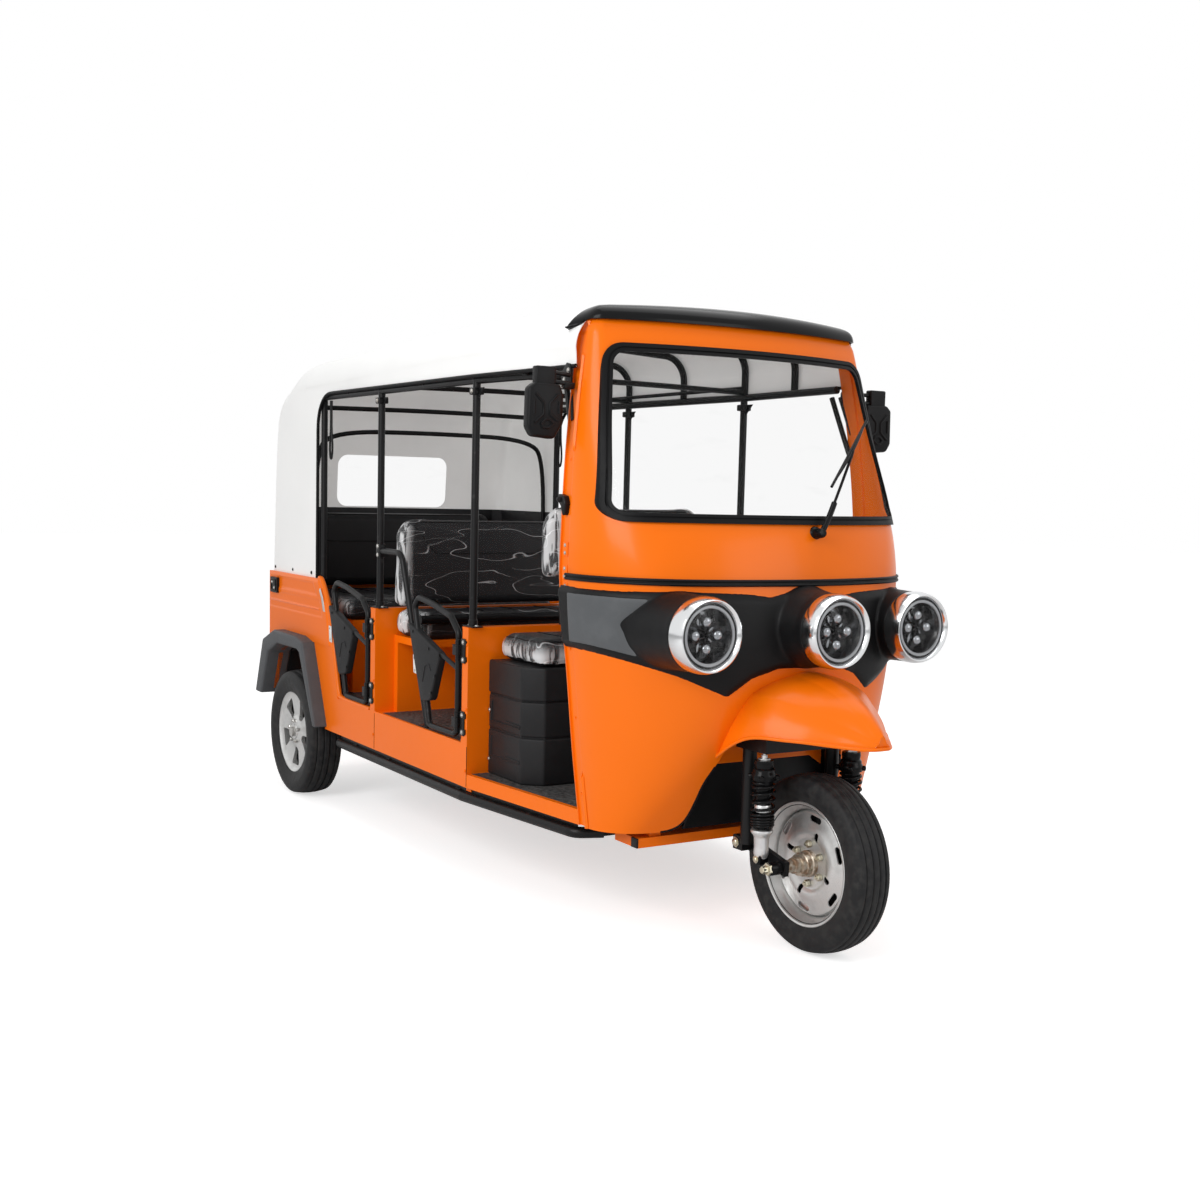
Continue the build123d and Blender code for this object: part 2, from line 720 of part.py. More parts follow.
with BuildPart() as middle_cushion:
    add(pad((bench_x + fit_gap, -bench_half, bench_low + fit_gap),
            (bench_x + bench_reach, bench_half, bench_high), 34))
finish(middle_cushion, "middle_cushion")

back_high = 1165.0
back_depth = 64.0
with BuildPart() as middle_backrest:
    add(pad((bench_x, -bench_half, bench_high + fit_gap),
            (bench_x + back_depth, bench_half, back_high), 24))
finish(middle_backrest, "middle_backrest")

with BuildPart() as rear_cushion:
    add(pad((tail_x + sheet + 4, -seat_half, rear_bench_top + fit_gap),
            (rear_bench_front, seat_half, rear_cushion_top), 32))
finish(rear_cushion, "rear_cushion")

with BuildPart() as rear_backrest:
    add(pad((tail_x + 32, -seat_half, rear_cushion_top + fit_gap),
            (tail_x + 32 + back_depth, seat_half, back_high), 24))
finish(rear_backrest, "rear_backrest")

# ---------------------------------------------------------------- half doors
hinge_y = half_width + 9.0
hinge_set_back = 13.0      # hinge axis behind the pillar's rear face
hinge_pin_radius = 4.0
hinge_eye_radius = 8.0
hinge_heights = (512.0, 748.0)
hinge_eye_length = 34.0
door_tube = 10.5
door_y = 546.0
# Ring outline: distance behind the hinge bar, height.
DOOR_RING = ((0, 480), (0, 800), (60, 850), (205, 880), (312, 893), (346, 862), (238, 549),
             (214, 465), (20, 465))
DOOR_PLATE = ((366, 795), (122, 716), (130, 690), (188, 565), (258, 548))
door_plate_depth = 26.0


def door_solid(post_x, side):
    """One half door: tube ring, moulded plate, brace and two hinge eyes."""
    bar_x = post_x - pillar_half - 46
    axis_x = post_x - pillar_half - hinge_set_back
    ring = [(bar_x - back, side * door_y, z) for back, z in DOOR_RING]
    plate_plane = Plane(origin=(0, side * door_y + side * door_plate_depth / 2, 0),
                        x_dir=(1, 0, 0), z_dir=(0, -1, 0))
    plate = slab(plate_plane, [(bar_x - back, z) for back, z in DOOR_PLATE],
                 side * door_plate_depth)
    brace = tube([(bar_x, side * door_y, 681), (bar_x - 126, side * door_y, 716)], 0, 8)
    with BuildPart() as door:
        add(ring_tube(ring))
        add(plate)
        add(brace)
        for z in hinge_heights:
            low_y, high_y = sorted((side * (door_y - 5), side * (hinge_y + 3)))
            add(block((bar_x, low_y, z - hinge_eye_length / 2),
                      (axis_x - hinge_eye_radius + 3, high_y, z + hinge_eye_length / 2)))
            with Locations([(axis_x, side * hinge_y, z)]):
                Cylinder(hinge_eye_radius, hinge_eye_length)
                Cylinder(hinge_pin_radius + fit_gap, far, mode=Mode.SUBTRACT)
    return door.part


def ring_tube(points):
    """Closed tube ring with rounded corners."""
    with BuildPart() as ring:
        with BuildLine() as path:
            FilletPolyline(*points, radius=24, close=True)
        with BuildSketch(Plane(origin=path.line @ 0, z_dir=path.line % 0)):
            Circle(door_tube)
        sweep(path=path.line)
    return ring.part


for name, side in SIDES:
    for row, post_x in (("front", post_front_x), ("rear", post_rear_x)):
        with BuildPart() as door:
            add(door_solid(post_x, side))
        finish(door, f"door_{row}_{name}")

with BuildPart() as door_hinges:
    for _, side in SIDES:
        for post_x in (post_front_x, post_rear_x):
            axis_x = post_x - pillar_half - hinge_set_back
            for z in hinge_heights:
                for end in (-1, 1):
                    centre_z = z + end * (hinge_eye_length / 2 + 9)
                    low_y, high_y = sorted((side * half_width, side * (half_width + 5)))
                    add(block((axis_x, low_y, centre_z - 8), (post_x + 14, high_y, centre_z + 8)))
                    with Locations([(axis_x, side * hinge_y, centre_z)]):
                        Cylinder(hinge_eye_radius, 16)
                with Locations([(axis_x, side * hinge_y, z)]):
                    Cylinder(hinge_pin_radius, hinge_eye_length + 20)
finish(door_hinges, "door_hinges")

with BuildPart() as grab_rails:
    for bar in grab_bars:
        add(bar)
    add(roof_frame.part, mode=Mode.SUBTRACT)
finish(grab_rails, "grab_rails")

# ---------------------------------------------------------------- small exterior pieces
bumper_radius = 17.0
bumper_x = tail_x - bumper_reach
with BuildPart() as rear_bumper:
    add(tube([(bumper_x + 14, -585, bumper_z), (bumper_x, -420, bumper_z),
              (bumper_x, 420, bumper_z), (bumper_x + 14, 585, bumper_z)], 60, bumper_radius))
    for bracket in bumper_brackets:
        add(bracket)
finish(rear_bumper, "rear_bumper")

with BuildPart() as tail_lamps:
    for box in lamp_boxes:
        add(box)
finish(tail_lamps, "tail_lamps")

with BuildPart() as side_latches:
    for _, side in SIDES:
        low_y, high_y = sorted((side * half_width, side * (half_width + 14)))
        add(block((rear_x - 342, low_y, 808), (rear_x - 262, high_y, 873)))
finish(side_latches, "side_latches")

mirror_x, mirror_y, mirror_z = edge_x - 10, 640.0, 1500.0
mirror_half_width, mirror_half_height, mirror_half_depth = 62.0, 92.0, 22.0
mirror_arm_z = rail_z - 10.0
with BuildPart() as mirrors:
    for _, side in SIDES:
        centre = (mirror_x, side * mirror_y, mirror_z)
        add(pad((mirror_x - mirror_half_depth, centre[1] - mirror_half_width, mirror_z - mirror_half_height),
                (mirror_x + mirror_half_depth, centre[1] + mirror_half_width, mirror_z + mirror_half_height), 18))
        add(tube([(mirror_x, centre[1], mirror_z + 60), (mirror_x, centre[1], mirror_arm_z),
                  (edge_x - 20, side * 480, mirror_arm_z)], 14, 9))
    add(cowl_outer, mode=Mode.SUBTRACT)
    add(roof_frame.part, mode=Mode.SUBTRACT)
    add(canopy.part, mode=Mode.SUBTRACT)
finish(mirrors, "mirrors")

wiper_y, wiper_z = 55.0, 1168.0
wiper_x = edge_x + 398.0
with BuildPart() as wiper:
    add(tube([(wiper_x - 30, wiper_y, wiper_z), (wiper_x + 22, wiper_y, wiper_z)], 0, 13))
    add(tube([(wiper_x + 14, wiper_y, wiper_z), (edge_x + 300, 255, 1420)], 0, 7))
    add(tube([(edge_x + 372, 110, 1300), (edge_x + 262, 330, 1500)], 0, 6))
    add(cowl_body(-gasket_proud - 1), mode=Mode.SUBTRACT)
finish(wiper, "wiper")

with BuildPart() as dashboard:
    add(block((edge_x + 150, -far, 1162), (edge_x + far, far, 1186)))
    add(cowl_inner, mode=Mode.INTERSECT)
finish(dashboard, "dashboard")

# ---------------------------------------------------------------- rear axle and drive
axle_radius = 32.0
axle_half = rear_track / 2 - 60
stub_radius = 20.0
stub_end = rear_track / 2 + 62
case_radius, case_reach = 84.0, 88.0
with BuildPart() as rear_axle:
    for reach, radius in ((axle_half, axle_radius), (stub_end, stub_radius)):
        add(tube([(rear_x, -reach, rear_tyre_radius), (rear_x, reach, rear_tyre_radius)], 0, radius))
    with Locations([(rear_x, 0, rear_tyre_radius)]):
        Cylinder(case_radius, 2 * case_reach, rotation=(0, 90, 0))
finish(rear_axle, "rear_axle")

with BuildPart() as drive_motor:
    add(block((rear_x + case_reach, -90, 175), (rear_x + 330, 90, 345)))
finish(drive_motor, "drive_motor")

spring_half = 360.0
spring_pack = 30.0
spring_low = rear_tyre_radius - axle_radius - spring_pack
with BuildPart() as leaf_springs:
    for _, side in SIDES:
        plane = Plane(origin=(0, side * rail_y + 24, 0), x_dir=(1, 0, 0), z_dir=(0, -1, 0))
        with BuildSketch(plane):
            with BuildLine():
                ThreePointArc((rear_x - spring_half, rail_low - 30), (rear_x, spring_low),
                              (rear_x + spring_half, rail_low - 30))
                Line((rear_x + spring_half, rail_low - 30), (rear_x + spring_half, rail_low))
                Line((rear_x + spring_half, rail_low), (rear_x + spring_half - 30, rail_low))
                ThreePointArc((rear_x + spring_half - 30, rail_low),
                              (rear_x, spring_low + spring_pack),
                              (rear_x - spring_half + 30, rail_low))
                Line((rear_x - spring_half + 30, rail_low), (rear_x - spring_half, rail_low))
                Line((rear_x - spring_half, rail_low), (rear_x - spring_half, rail_low - 30))
            make_face()
        extrude(amount=48)
finish(leaf_springs, "leaf_springs")

# ---------------------------------------------------------------- wheels


def wheel_plane(x, y, z):
    """Section plane of a wheel: first axis along the axle, second axis up."""
    return Plane(origin=(x, y, z), x_dir=(0, 1, 0), z_dir=(1, 0, 0))


def tyre_solid(centre, radius, width, bead):
    """Tyre with rounded shoulders, seated on its rim's bead."""
    half, shoulder = width / 2, radius - 8
    bead_half = half - 14
    with BuildPart() as tyre:
        with BuildSketch(wheel_plane(*centre)):
            with BuildLine():
                ThreePointArc((-bead_half, bead), (-half, (bead + radius) / 2), (-half + 12, shoulder))
                ThreePointArc((-half + 12, shoulder), (0, radius), (half - 12, shoulder))
                ThreePointArc((half - 12, shoulder), (half, (bead + radius) / 2), (bead_half, bead))
                Line((bead_half, bead), (-bead_half, bead))
            make_face()
        revolve(axis=Axis(centre, (0, 1, 0)))
    return tyre.part


def rim_solid(centre, radius, half, disc_y, holes, hole_shape, hub):
    """Rim barrel with a pierced disc and a hub bored for its axle."""
    depth = 22.0
    with BuildPart() as rim:
        with BuildSketch(wheel_plane(*centre)):
            with BuildLine():
                Polyline((-half, radius - depth), (-half, radius), (half, radius),
                         (half, radius - depth), (half - 12, radius - depth - 8),
                         (-half + 12, radius - depth - 8), close=True)
            make_face()
            with Locations([(disc_y, (radius - depth) / 2)]):
                Rectangle(14, radius - depth)
            with Locations([(disc_y, hub[0] / 2)]):
                Rectangle(hub[1], hub[0])
        revolve(axis=Axis(centre, (0, 1, 0)))
        with BuildSketch(Plane(origin=(centre[0], centre[1] - far / 2, centre[2]),
                               x_dir=(1, 0, 0), z_dir=(0, -1, 0))):
            with PolarLocations(hole_shape[0], holes):
                SlotOverall(hole_shape[1], hole_shape[2], rotation=90)
        extrude(amount=-far, mode=Mode.SUBTRACT)
    return rim.part


def bore(part, centre, radius):
    """A rim with a running bore for its axle."""
    with BuildPart() as bored:
        add(part)
        with Locations([Location(centre, (90, 0, 0))]):
            Cylinder(radius, far, mode=Mode.SUBTRACT)
    return bored.part


bore_gap = 0.05
for name, side in SIDES:
    centre = (rear_x, side * rear_track / 2, rear_tyre_radius)
    with BuildPart() as tyre:
        add(tyre_solid(centre, rear_tyre_radius, rear_tyre_width, rear_rim_radius))
    finish(tyre, f"rear_tyre_{name}")
    with BuildPart() as rim:
        add(bore(rim_solid(centre, rear_rim_radius, rear_tyre_width / 2 - 14, side * 34, 5,
                           (96, 74, 46), (52, 40)), centre, stub_radius + bore_gap))
    finish(rim, f"rear_rim_{name}")

front_centre = (front_x, 0, front_tyre_radius)
with BuildPart() as front_tyre:
    add(tyre_solid(front_centre, front_tyre_radius, front_tyre_width, front_rim_radius))
finish(front_tyre, "front_tyre")
front_axle_radius = 10.0
with BuildPart() as front_rim:
    add(bore(rim_solid(front_centre, front_rim_radius, front_tyre_width / 2 - 14, -12, 10,
                       (112, 40, 14), (44, 96)), front_centre, front_axle_radius + bore_gap))
finish(front_rim, "front_rim")

# ---------------------------------------------------------------- steering
leg_x = front_x - 126.0
leg_radius = 20.0
link_x, link_z = front_x - 154.0, 293.0
damper_x = front_x - 51.0
damper_low, damper_high = 268.0, 566.0
with BuildPart() as fork:
    for _, side in SIDES:
        add(tube([(leg_x, side * fork_half_width, link_z), (leg_x, side * fork_half_width, crown_z)],
                 0, leg_radius))
        add(block((link_x - 14, side * fork_half_width - 17, link_z - 20),
                  (leg_x, side * fork_half_width + 17, link_z + 20)))
    add(block((leg_x - 34, -fork_half_width - 24, damper_high), (damper_x + 26, fork_half_width + 24, crown_z + 14)))
    with BuildSketch(steer_plane):
        Circle(head_radius - 13)
    extrude(amount=(grip_z - crown_z) / cos(radians(rake)) - 22)
finish(fork, "fork")

with BuildPart() as fork_links:
    for _, side in SIDES:
        low_y, high_y = sorted((side * (fork_half_width - 18), side * (fork_half_width - 34)))
        add(slab(Plane(origin=(0, high_y, 0), x_dir=(1, 0, 0), z_dir=(0, -1, 0)),
                 [(link_x - 18, link_z - 18), (front_x + 20, front_tyre_radius - 22),
                  (front_x + 24, front_tyre_radius + 18), (link_x - 14, link_z + 20)], high_y - low_y))
    add(tube([(front_x, -fork_half_width - 42, front_tyre_radius),
              (front_x, fork_half_width + 42, front_tyre_radius)], 0, front_axle_radius))
    add(fork.part, mode=Mode.SUBTRACT)
finish(fork_links, "fork_links")

with BuildPart() as dampers:
    for _, side in SIDES:
        y = side * (fork_half_width + 8)
        add(tube([(damper_x, y, damper_low - 16), (damper_x, y, 404)], 0, 22))
        add(tube([(damper_x, y, 404), (damper_x, y, damper_high)], 0, 12))
        add(tube([(damper_x, y, 512), (damper_x, y, 540)], 0, 34))
        add(tube([(damper_x, y, 372), (damper_x, y, 384)], 0, 34))
        end_y = side * (fork_half_width - 18)
        add(tube([(damper_x, y, damper_low), (damper_x, end_y, damper_low)], 0, 11))
finish(dampers, "dampers")

with BuildPart() as damper_springs:
    for _, side in SIDES:
        y = side * (fork_half_width + 8)
        with Locations([(damper_x, y, (384 + 512) / 2)]):
            Cylinder(33, 512 - 384)
            Cylinder(22.0 + fit_gap, 512 - 384, mode=Mode.SUBTRACT)
finish(damper_springs, "damper_springs")

grip_x = steering_x(grip_z)
with BuildPart() as handlebar:
    add(tube([(grip_x - 140, -270, grip_z + 10), (grip_x - 70, -150, grip_z + 10),
              (grip_x, -70, grip_z), (grip_x, 70, grip_z), (grip_x - 70, 150, grip_z + 10),
              (grip_x - 140, 270, grip_z + 10)], 30, 12))
    add(pad((grip_x - 60, -80, grip_z - 40), (grip_x + 50, 80, grip_z + 40), 20))
    add(fork.part, mode=Mode.SUBTRACT)
finish(handlebar, "handlebar")
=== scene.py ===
"""Three-row auto rickshaw: finishes, soft goods and small parts over the CAD frame.

Metres.  +X points forward, +Y to the vehicle's left, +Z up.
"""

from contextlib import contextmanager
from math import acos, cos, pi, radians, sin

import bpy
from bpy.props import FloatProperty, FloatVectorProperty, PointerProperty
from mathutils import Matrix, Vector, noise


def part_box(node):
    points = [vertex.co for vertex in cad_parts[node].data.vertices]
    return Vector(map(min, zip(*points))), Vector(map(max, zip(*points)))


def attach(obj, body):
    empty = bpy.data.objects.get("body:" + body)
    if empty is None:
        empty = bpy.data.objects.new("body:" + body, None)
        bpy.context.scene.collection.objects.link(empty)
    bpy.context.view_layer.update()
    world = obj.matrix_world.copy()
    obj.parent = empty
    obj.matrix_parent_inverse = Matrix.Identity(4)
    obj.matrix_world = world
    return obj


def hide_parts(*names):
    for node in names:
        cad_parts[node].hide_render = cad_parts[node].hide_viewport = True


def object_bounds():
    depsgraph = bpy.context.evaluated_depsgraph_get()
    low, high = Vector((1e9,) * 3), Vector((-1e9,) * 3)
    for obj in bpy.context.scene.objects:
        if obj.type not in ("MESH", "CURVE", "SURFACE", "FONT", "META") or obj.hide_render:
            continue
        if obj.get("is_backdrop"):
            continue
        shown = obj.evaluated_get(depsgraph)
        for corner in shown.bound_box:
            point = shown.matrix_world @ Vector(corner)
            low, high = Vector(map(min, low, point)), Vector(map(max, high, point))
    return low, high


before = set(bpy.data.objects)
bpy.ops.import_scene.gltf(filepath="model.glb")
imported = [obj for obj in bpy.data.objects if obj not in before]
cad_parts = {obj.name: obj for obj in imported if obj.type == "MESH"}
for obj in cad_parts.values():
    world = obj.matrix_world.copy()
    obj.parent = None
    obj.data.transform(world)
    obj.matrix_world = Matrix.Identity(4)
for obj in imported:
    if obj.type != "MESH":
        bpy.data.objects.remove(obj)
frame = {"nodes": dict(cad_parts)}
NODES = frame["nodes"]
CAD_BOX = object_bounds()

bl_info = {
    "name": "Auto rickshaw",
    "version": (1, 0, 0),
    "blender": (4, 5, 0),
    "location": "3D View > Sidebar > Rickshaw",
    "description": "Builds the finishes, canopy, seats, lamps and wheels of an auto rickshaw",
    "category": "Add Mesh",
}


# ---------------------------------------------------------------- settings
def colour(name, description, value):
    return FloatVectorProperty(name=name, description=description, subtype="COLOR", size=3,
                               min=0, max=1, default=value)


def size(name, description, value):
    return FloatProperty(name=name, description=description, unit="LENGTH", min=0, default=value)


class RickshawColours(bpy.types.PropertyGroup):
    """Colours of the rickshaw's finishes"""
    body: colour("Body", "Body paint", (0.88, 0.160, 0.002))
    plastic: colour("Plastic", "Lamp band, visor and seat box", (0.006, 0.006, 0.0065))
    frame: colour("Frame", "Powder-coated tubes and brackets", (0.007, 0.007, 0.0075))
    canvas: colour("Canvas", "Outside of the canopy", (0.90, 0.90, 0.89))
    lining: colour("Lining", "Inside of the canopy", (0.74, 0.74, 0.73))
    vinyl: colour("Vinyl", "Seat covers", (0.009, 0.009, 0.010))
    wheel: colour("Wheel", "Wheel paint", (0.62, 0.62, 0.61))


class RickshawSizes(bpy.types.PropertyGroup):
    """Sizes of the rickshaw's small parts"""
    coil: size("Spring wire", "Thickness of a damper spring's wire", 0.0085)


# ---------------------------------------------------------------- shader sums
class Sum:
    """A shader value that takes part in Python sums."""

    def __init__(self, finish, socket):
        self.finish = finish
        self.socket = socket

    def math(self, operation, *others):
        values = dict(enumerate((self,) + others))
        return self.finish.node("ShaderNodeMath", {"operation": operation}, values)

    def __add__(self, other):
        return self.math("ADD", other)

    def __mul__(self, other):
        return self.math("MULTIPLY", other)

    def __sub__(self, other):
        return self.math("SUBTRACT", other)

    def __rsub__(self, other):
        return (self * -1.0) + other

    def __truediv__(self, other):
        return self.math("DIVIDE", other)

    def __abs__(self):
        return self.math("ABSOLUTE")

    __radd__ = __add__
    __rmul__ = __mul__

    def above(self, limit, soft=0.02):
        """1 where the value is over the limit, with an edge of width soft."""
        return self.finish.node("ShaderNodeMapRange", {"interpolation_type": "SMOOTHSTEP"},
                                {"Value": self, "From Min": limit - soft / 2,
                                 "From Max": limit + soft / 2})

    def below(self, limit, soft=0.02):
        return 1.0 - self.above(limit, soft)

    def wave(self, pitch):
        """0 to 1 and back over each pitch."""
        return self.math("PINGPONG", pitch / 2) / (pitch / 2)


class Finish:
    """One named material and its shader."""

    def __init__(self, name, base, roughness, metallic=0.0, **fixed):
        self.material = bpy.data.materials.new(name)
        self.material.use_nodes = True
        self.tree = self.material.node_tree
        self.shader = self.tree.nodes["Principled BSDF"]
        self.base = tuple(base) + (1.0,)
        self.set("Base Color", self.base)
        self.set("Roughness", roughness)
        self.set("Metallic", metallic)
        for label, value in fixed.items():
            self.set(label.replace("_", " "), value)
        self.heights = None
        here = self.node("ShaderNodeTexCoord", output="Object")
        self.here = here
        parts = self.node("ShaderNodeSeparateXYZ", inputs={"Vector": here}, output=None)
        self.x, self.y, self.z = (Sum(self, parts.outputs[axis]) for axis in "XYZ")

    def node(self, kind, settings=None, inputs=None, output=0):
        """A shader node with its settings and inputs; gives one output, or the node."""
        made = self.tree.nodes.new(kind)
        for label, value in (settings or {}).items():
            if label == "stops":
                for stop in value[2:]:
                    made.color_ramp.elements.new(stop[0])
                for element, (place, tone) in zip(made.color_ramp.elements, value):
                    element.position = place
                    element.color = tuple(tone) + (1.0,)
            else:
                setattr(made, label, value)
        for label, value in (inputs or {}).items():
            self.feed(made.inputs[label], value)
        if output is None:
            return made
        return Sum(self, made.outputs[output])

    def feed(self, socket, value):
        if isinstance(value, Sum):
            self.tree.links.new(value.socket, socket)
        else:
            socket.default_value = value

    def set(self, label, value):
        self.feed(self.shader.inputs[label], value)

    def noise(self, scale, detail=3.0, stretch=(1, 1, 1), distortion=0.0):
        """Cloudy pattern from 0 to 1, with this many waves a metre."""
        place = self.here
        if stretch != (1, 1, 1):
            place = self.node("ShaderNodeMapping", inputs={"Vector": place, "Scale": stretch})
        return self.node("ShaderNodeTexNoise", inputs={
            "Vector": place, "Scale": scale, "Detail": detail, "Distortion": distortion},
            output="Fac")

    def cells(self, scale, feature="F1"):
        """Distance to the middle of the nearest cell of a random pattern."""
        return self.node("ShaderNodeTexVoronoi", {"feature": feature},
                         {"Vector": self.here, "Scale": scale}, "Distance")

    def blend(self, amount, low, high):
        """Colour between low and high."""
        made = self.node("ShaderNodeMix", {"data_type": "RGBA"}, output=None)
        self.feed(made.inputs["Factor"], amount)
        for socket, tone in ((made.inputs[6], low), (made.inputs[7], high)):
            self.feed(socket, tone if isinstance(tone, Sum) else tuple(tone)[:3] + (1.0,))
        return Sum(self, made.outputs[2])

    def relief(self, height, distance, strength=1.0):
        """Bump of a height from 0 to 1 over distance metres."""
        inputs = {"Height": height, "Distance": distance, "Strength": strength}
        if self.heights:
            inputs["Normal"] = self.heights
        self.heights = self.node("ShaderNodeBump", inputs=inputs)
        self.set("Normal", self.heights)
        return self


def shade(tone, factor):
    """A colour made lighter or darker."""
    return tuple(min(1.0, channel * factor) for channel in tone)


# ---------------------------------------------------------------- finishes
def body_paint(tone):
    made = Finish("body_paint", tone, 0.32, Specular_IOR_Level=0.12, Coat_Weight=0.14,
                  Coat_Roughness=0.15)
    cloud = made.noise(2.3, 2.0)
    dust = made.noise(38.0, 5.0) * made.z.below(0.5, 0.5)
    made.set("Base Color", made.blend(cloud, shade(tone, 0.96), shade(tone, 1.04)))
    made.set("Roughness", 0.30 + dust * 0.12)
    made.relief(made.noise(420.0, 2.0), 0.00006)
    return made.material


def shaded_wheelhouse_paint(tone):
    # Painted shade: the body paint at half its tone for the wheelhouse recess; the random brown
    # patches are grime.
    made = Finish("shaded_wheelhouse_paint", shade(tone, 0.45), 0.55, Specular_IOR_Level=0.15)
    grime = made.noise(24.0, 6.0).above(0.52, 0.3)
    made.set("Base Color", made.blend(grime, shade(tone, 0.5), (0.10, 0.05, 0.02)))
    made.set("Roughness", 0.5 + grime * 0.3)
    made.relief(made.noise(160.0, 4.0), 0.0004)
    return made.material


def grained_plastic(tone, name="grained_plastic", rough=0.36):
    made = Finish(name, tone, rough, Specular_IOR_Level=0.14)
    grain = made.cells(900.0)
    scuff = made.noise(18.0, 5.0).above(0.60, 0.3)
    made.set("Base Color", made.blend(scuff * 0.5, tone, shade(tone, 1.3)))
    made.set("Roughness", rough + scuff * 0.12 + grain * 0.06)
    made.relief(grain, 0.00025, 0.6)
    return made.material


def gloss_plastic(tone):
    made = Finish("gloss_plastic", tone, 0.18, Specular_IOR_Level=0.12)
    haze = made.noise(40.0, 5.0)
    made.set("Roughness", 0.14 + haze * 0.10)
    made.relief(made.noise(260.0, 2.0), 0.00008)
    return made.material


def powder_coat(tone):
    made = Finish("powder_coat", tone, 0.34, Specular_IOR_Level=0.2)
    peel = made.noise(700.0, 2.0)
    worn = made.noise(30.0, 6.0).above(0.68, 0.1)
    made.set("Base Color", made.blend(worn * 0.4, tone, (0.05, 0.05, 0.05)))
    made.set("Roughness", 0.30 + peel * 0.12)
    made.relief(peel, 0.0002, 0.7)
    return made.material


def plain(name, tone, metallic, rough, spread, scale, detail=3.0, **fixed):
    """A finish of one colour whose roughness drifts by a spread over the surface."""
    made = Finish(name, tone, rough, metallic, **fixed)
    made.set("Roughness", rough + made.noise(scale, detail) * spread)
    return made.material


def bare_steel():
    made = Finish("bare_steel", (0.50, 0.50, 0.49), 0.34, 1.0)
    brushed = made.noise(140.0, 4.0, (1, 1, 8))
    stain = made.noise(16.0, 5.0).above(0.56, 0.2)
    made.set("Base Color", made.blend(stain * 0.5, (0.52, 0.51, 0.49), (0.30, 0.25, 0.20)))
    made.set("Roughness", 0.28 + brushed * 0.16 + stain * 0.1)
    made.relief(brushed, 0.0001)
    return made.material


def hub_steel():
    made = Finish("hub_steel", (0.42, 0.34, 0.26), 0.42, 1.0)
    rust = made.noise(60.0, 6.0).above(0.5, 0.3)
    made.set("Base Color", made.blend(rust, (0.52, 0.46, 0.38), (0.24, 0.15, 0.09)))
    made.set("Roughness", 0.34 + rust * 0.3)
    made.set("Metallic", 1.0 - rust * 0.5)
    made.relief(made.noise(300.0, 4.0), 0.0002)
    return made.material


def zinc_plate():
    made = Finish("zinc_plate", (0.62, 0.56, 0.40), 0.3, 1.0)
    bloom = made.noise(90.0, 4.0)
    made.set("Base Color", made.blend(bloom, (0.66, 0.58, 0.38), (0.56, 0.55, 0.50)))
    made.set("Roughness", 0.24 + bloom * 0.18)
    return made.material


def wheel_silver(tone, name="wheel_silver"):
    made = Finish(name, tone, 0.3, 0.75, Coat_Weight=0.5, Coat_Roughness=0.1)
    flake = made.cells(1500.0)
    dust = made.noise(28.0, 5.0).above(0.6, 0.25)
    made.set("Base Color", made.blend(dust * 0.5, tone, shade(tone, 0.72)))
    made.set("Roughness", 0.26 + flake * 0.1 + dust * 0.15)
    made.relief(flake, 0.00005)
    return made.material


def tyre_rubber():
    made = Finish("tyre_rubber", (0.016, 0.016, 0.017), 0.62, Specular_IOR_Level=0.2)
    dust = made.noise(45.0, 6.0).above(0.55, 0.35)
    made.set("Base Color", made.blend(dust * 0.55, (0.013, 0.013, 0.014), (0.045, 0.044, 0.042)))
    made.set("Roughness", 0.52 + dust * 0.2)
    made.relief(made.noise(900.0, 3.0), 0.0002)
    return made.material


def soft_rubber():
    made = Finish("soft_rubber", (0.005, 0.005, 0.0055), 0.40, Specular_IOR_Level=0.11)
    bloom = made.noise(70.0, 5.0)
    made.set("Roughness", 0.38 + bloom * 0.18)
    made.relief(made.noise(500.0, 2.0), 0.00015)
    return made.material


def floor_mat():
    made = Finish("floor_mat", (0.02, 0.02, 0.021), 0.6, Specular_IOR_Level=0.2)
    pebble = made.cells(60.0, "SMOOTH_F1")
    dust = made.noise(9.0, 6.0)
    made.set("Base Color", made.blend(dust * 0.7, (0.024, 0.024, 0.025), (0.14, 0.135, 0.128)))
    made.set("Roughness", 0.5 + dust * 0.25)
    made.relief(pebble, 0.009, 1.0)
    return made.material


def clear_glass():
    made = Finish("clear_glass", (0.05, 0.06, 0.06), 0.02, Specular_IOR_Level=0.4)
    smear = made.noise(7.0, 4.0, (1, 1, 3))
    made.set("Alpha", 0.035 + smear.above(0.7, 0.3) * 0.02)
    made.set("Roughness", 0.015 + smear * 0.02)
    return made.material


def ribbed_lens(name, tone):
    made = Finish(name, tone, 0.12, Coat_Weight=1.0)
    ribs = made.z.wave(0.006)
    made.set("Roughness", 0.1 + ribs * 0.08)
    made.relief(ribs, 0.0008)
    return made.material


def canvas(tone):
    made = Finish("canvas", tone, 0.62, Sheen_Weight=0.15)
    weft = made.x.wave(0.0016)
    warp = made.z.wave(0.0016) * 0.5 + made.y.wave(0.0016) * 0.5
    stain = made.noise(3.5, 6.0)
    made.set("Base Color", made.blend(stain, shade(tone, 0.95), shade(tone, 1.02)))
    made.set("Roughness", 0.55 + stain * 0.14)
    made.relief(weft * 0.5 + warp * 0.5, 0.00025, 0.5)
    return made.material


def glowing_lining_cloth(tone):
    made = Finish("glowing_lining_cloth", tone, 0.7)
    weave = made.x.wave(0.002) * 0.5 + made.y.wave(0.002) * 0.5
    stain = made.noise(4.0, 5.0)
    made.set("Base Color", made.blend(stain, shade(tone, 0.9), shade(tone, 1.08)))
    made.set("Roughness", 0.62 + stain * 0.14)
    # Painted light: the lining glows to brighten the inside of the canopy, which the lamps light
    # too little.
    made.set("Emission Color", made.blend(stain, shade(tone, 0.9), shade(tone, 1.08)))
    made.set("Emission Strength", 0.27)
    made.relief(weave, 0.0003, 0.5)
    return made.material


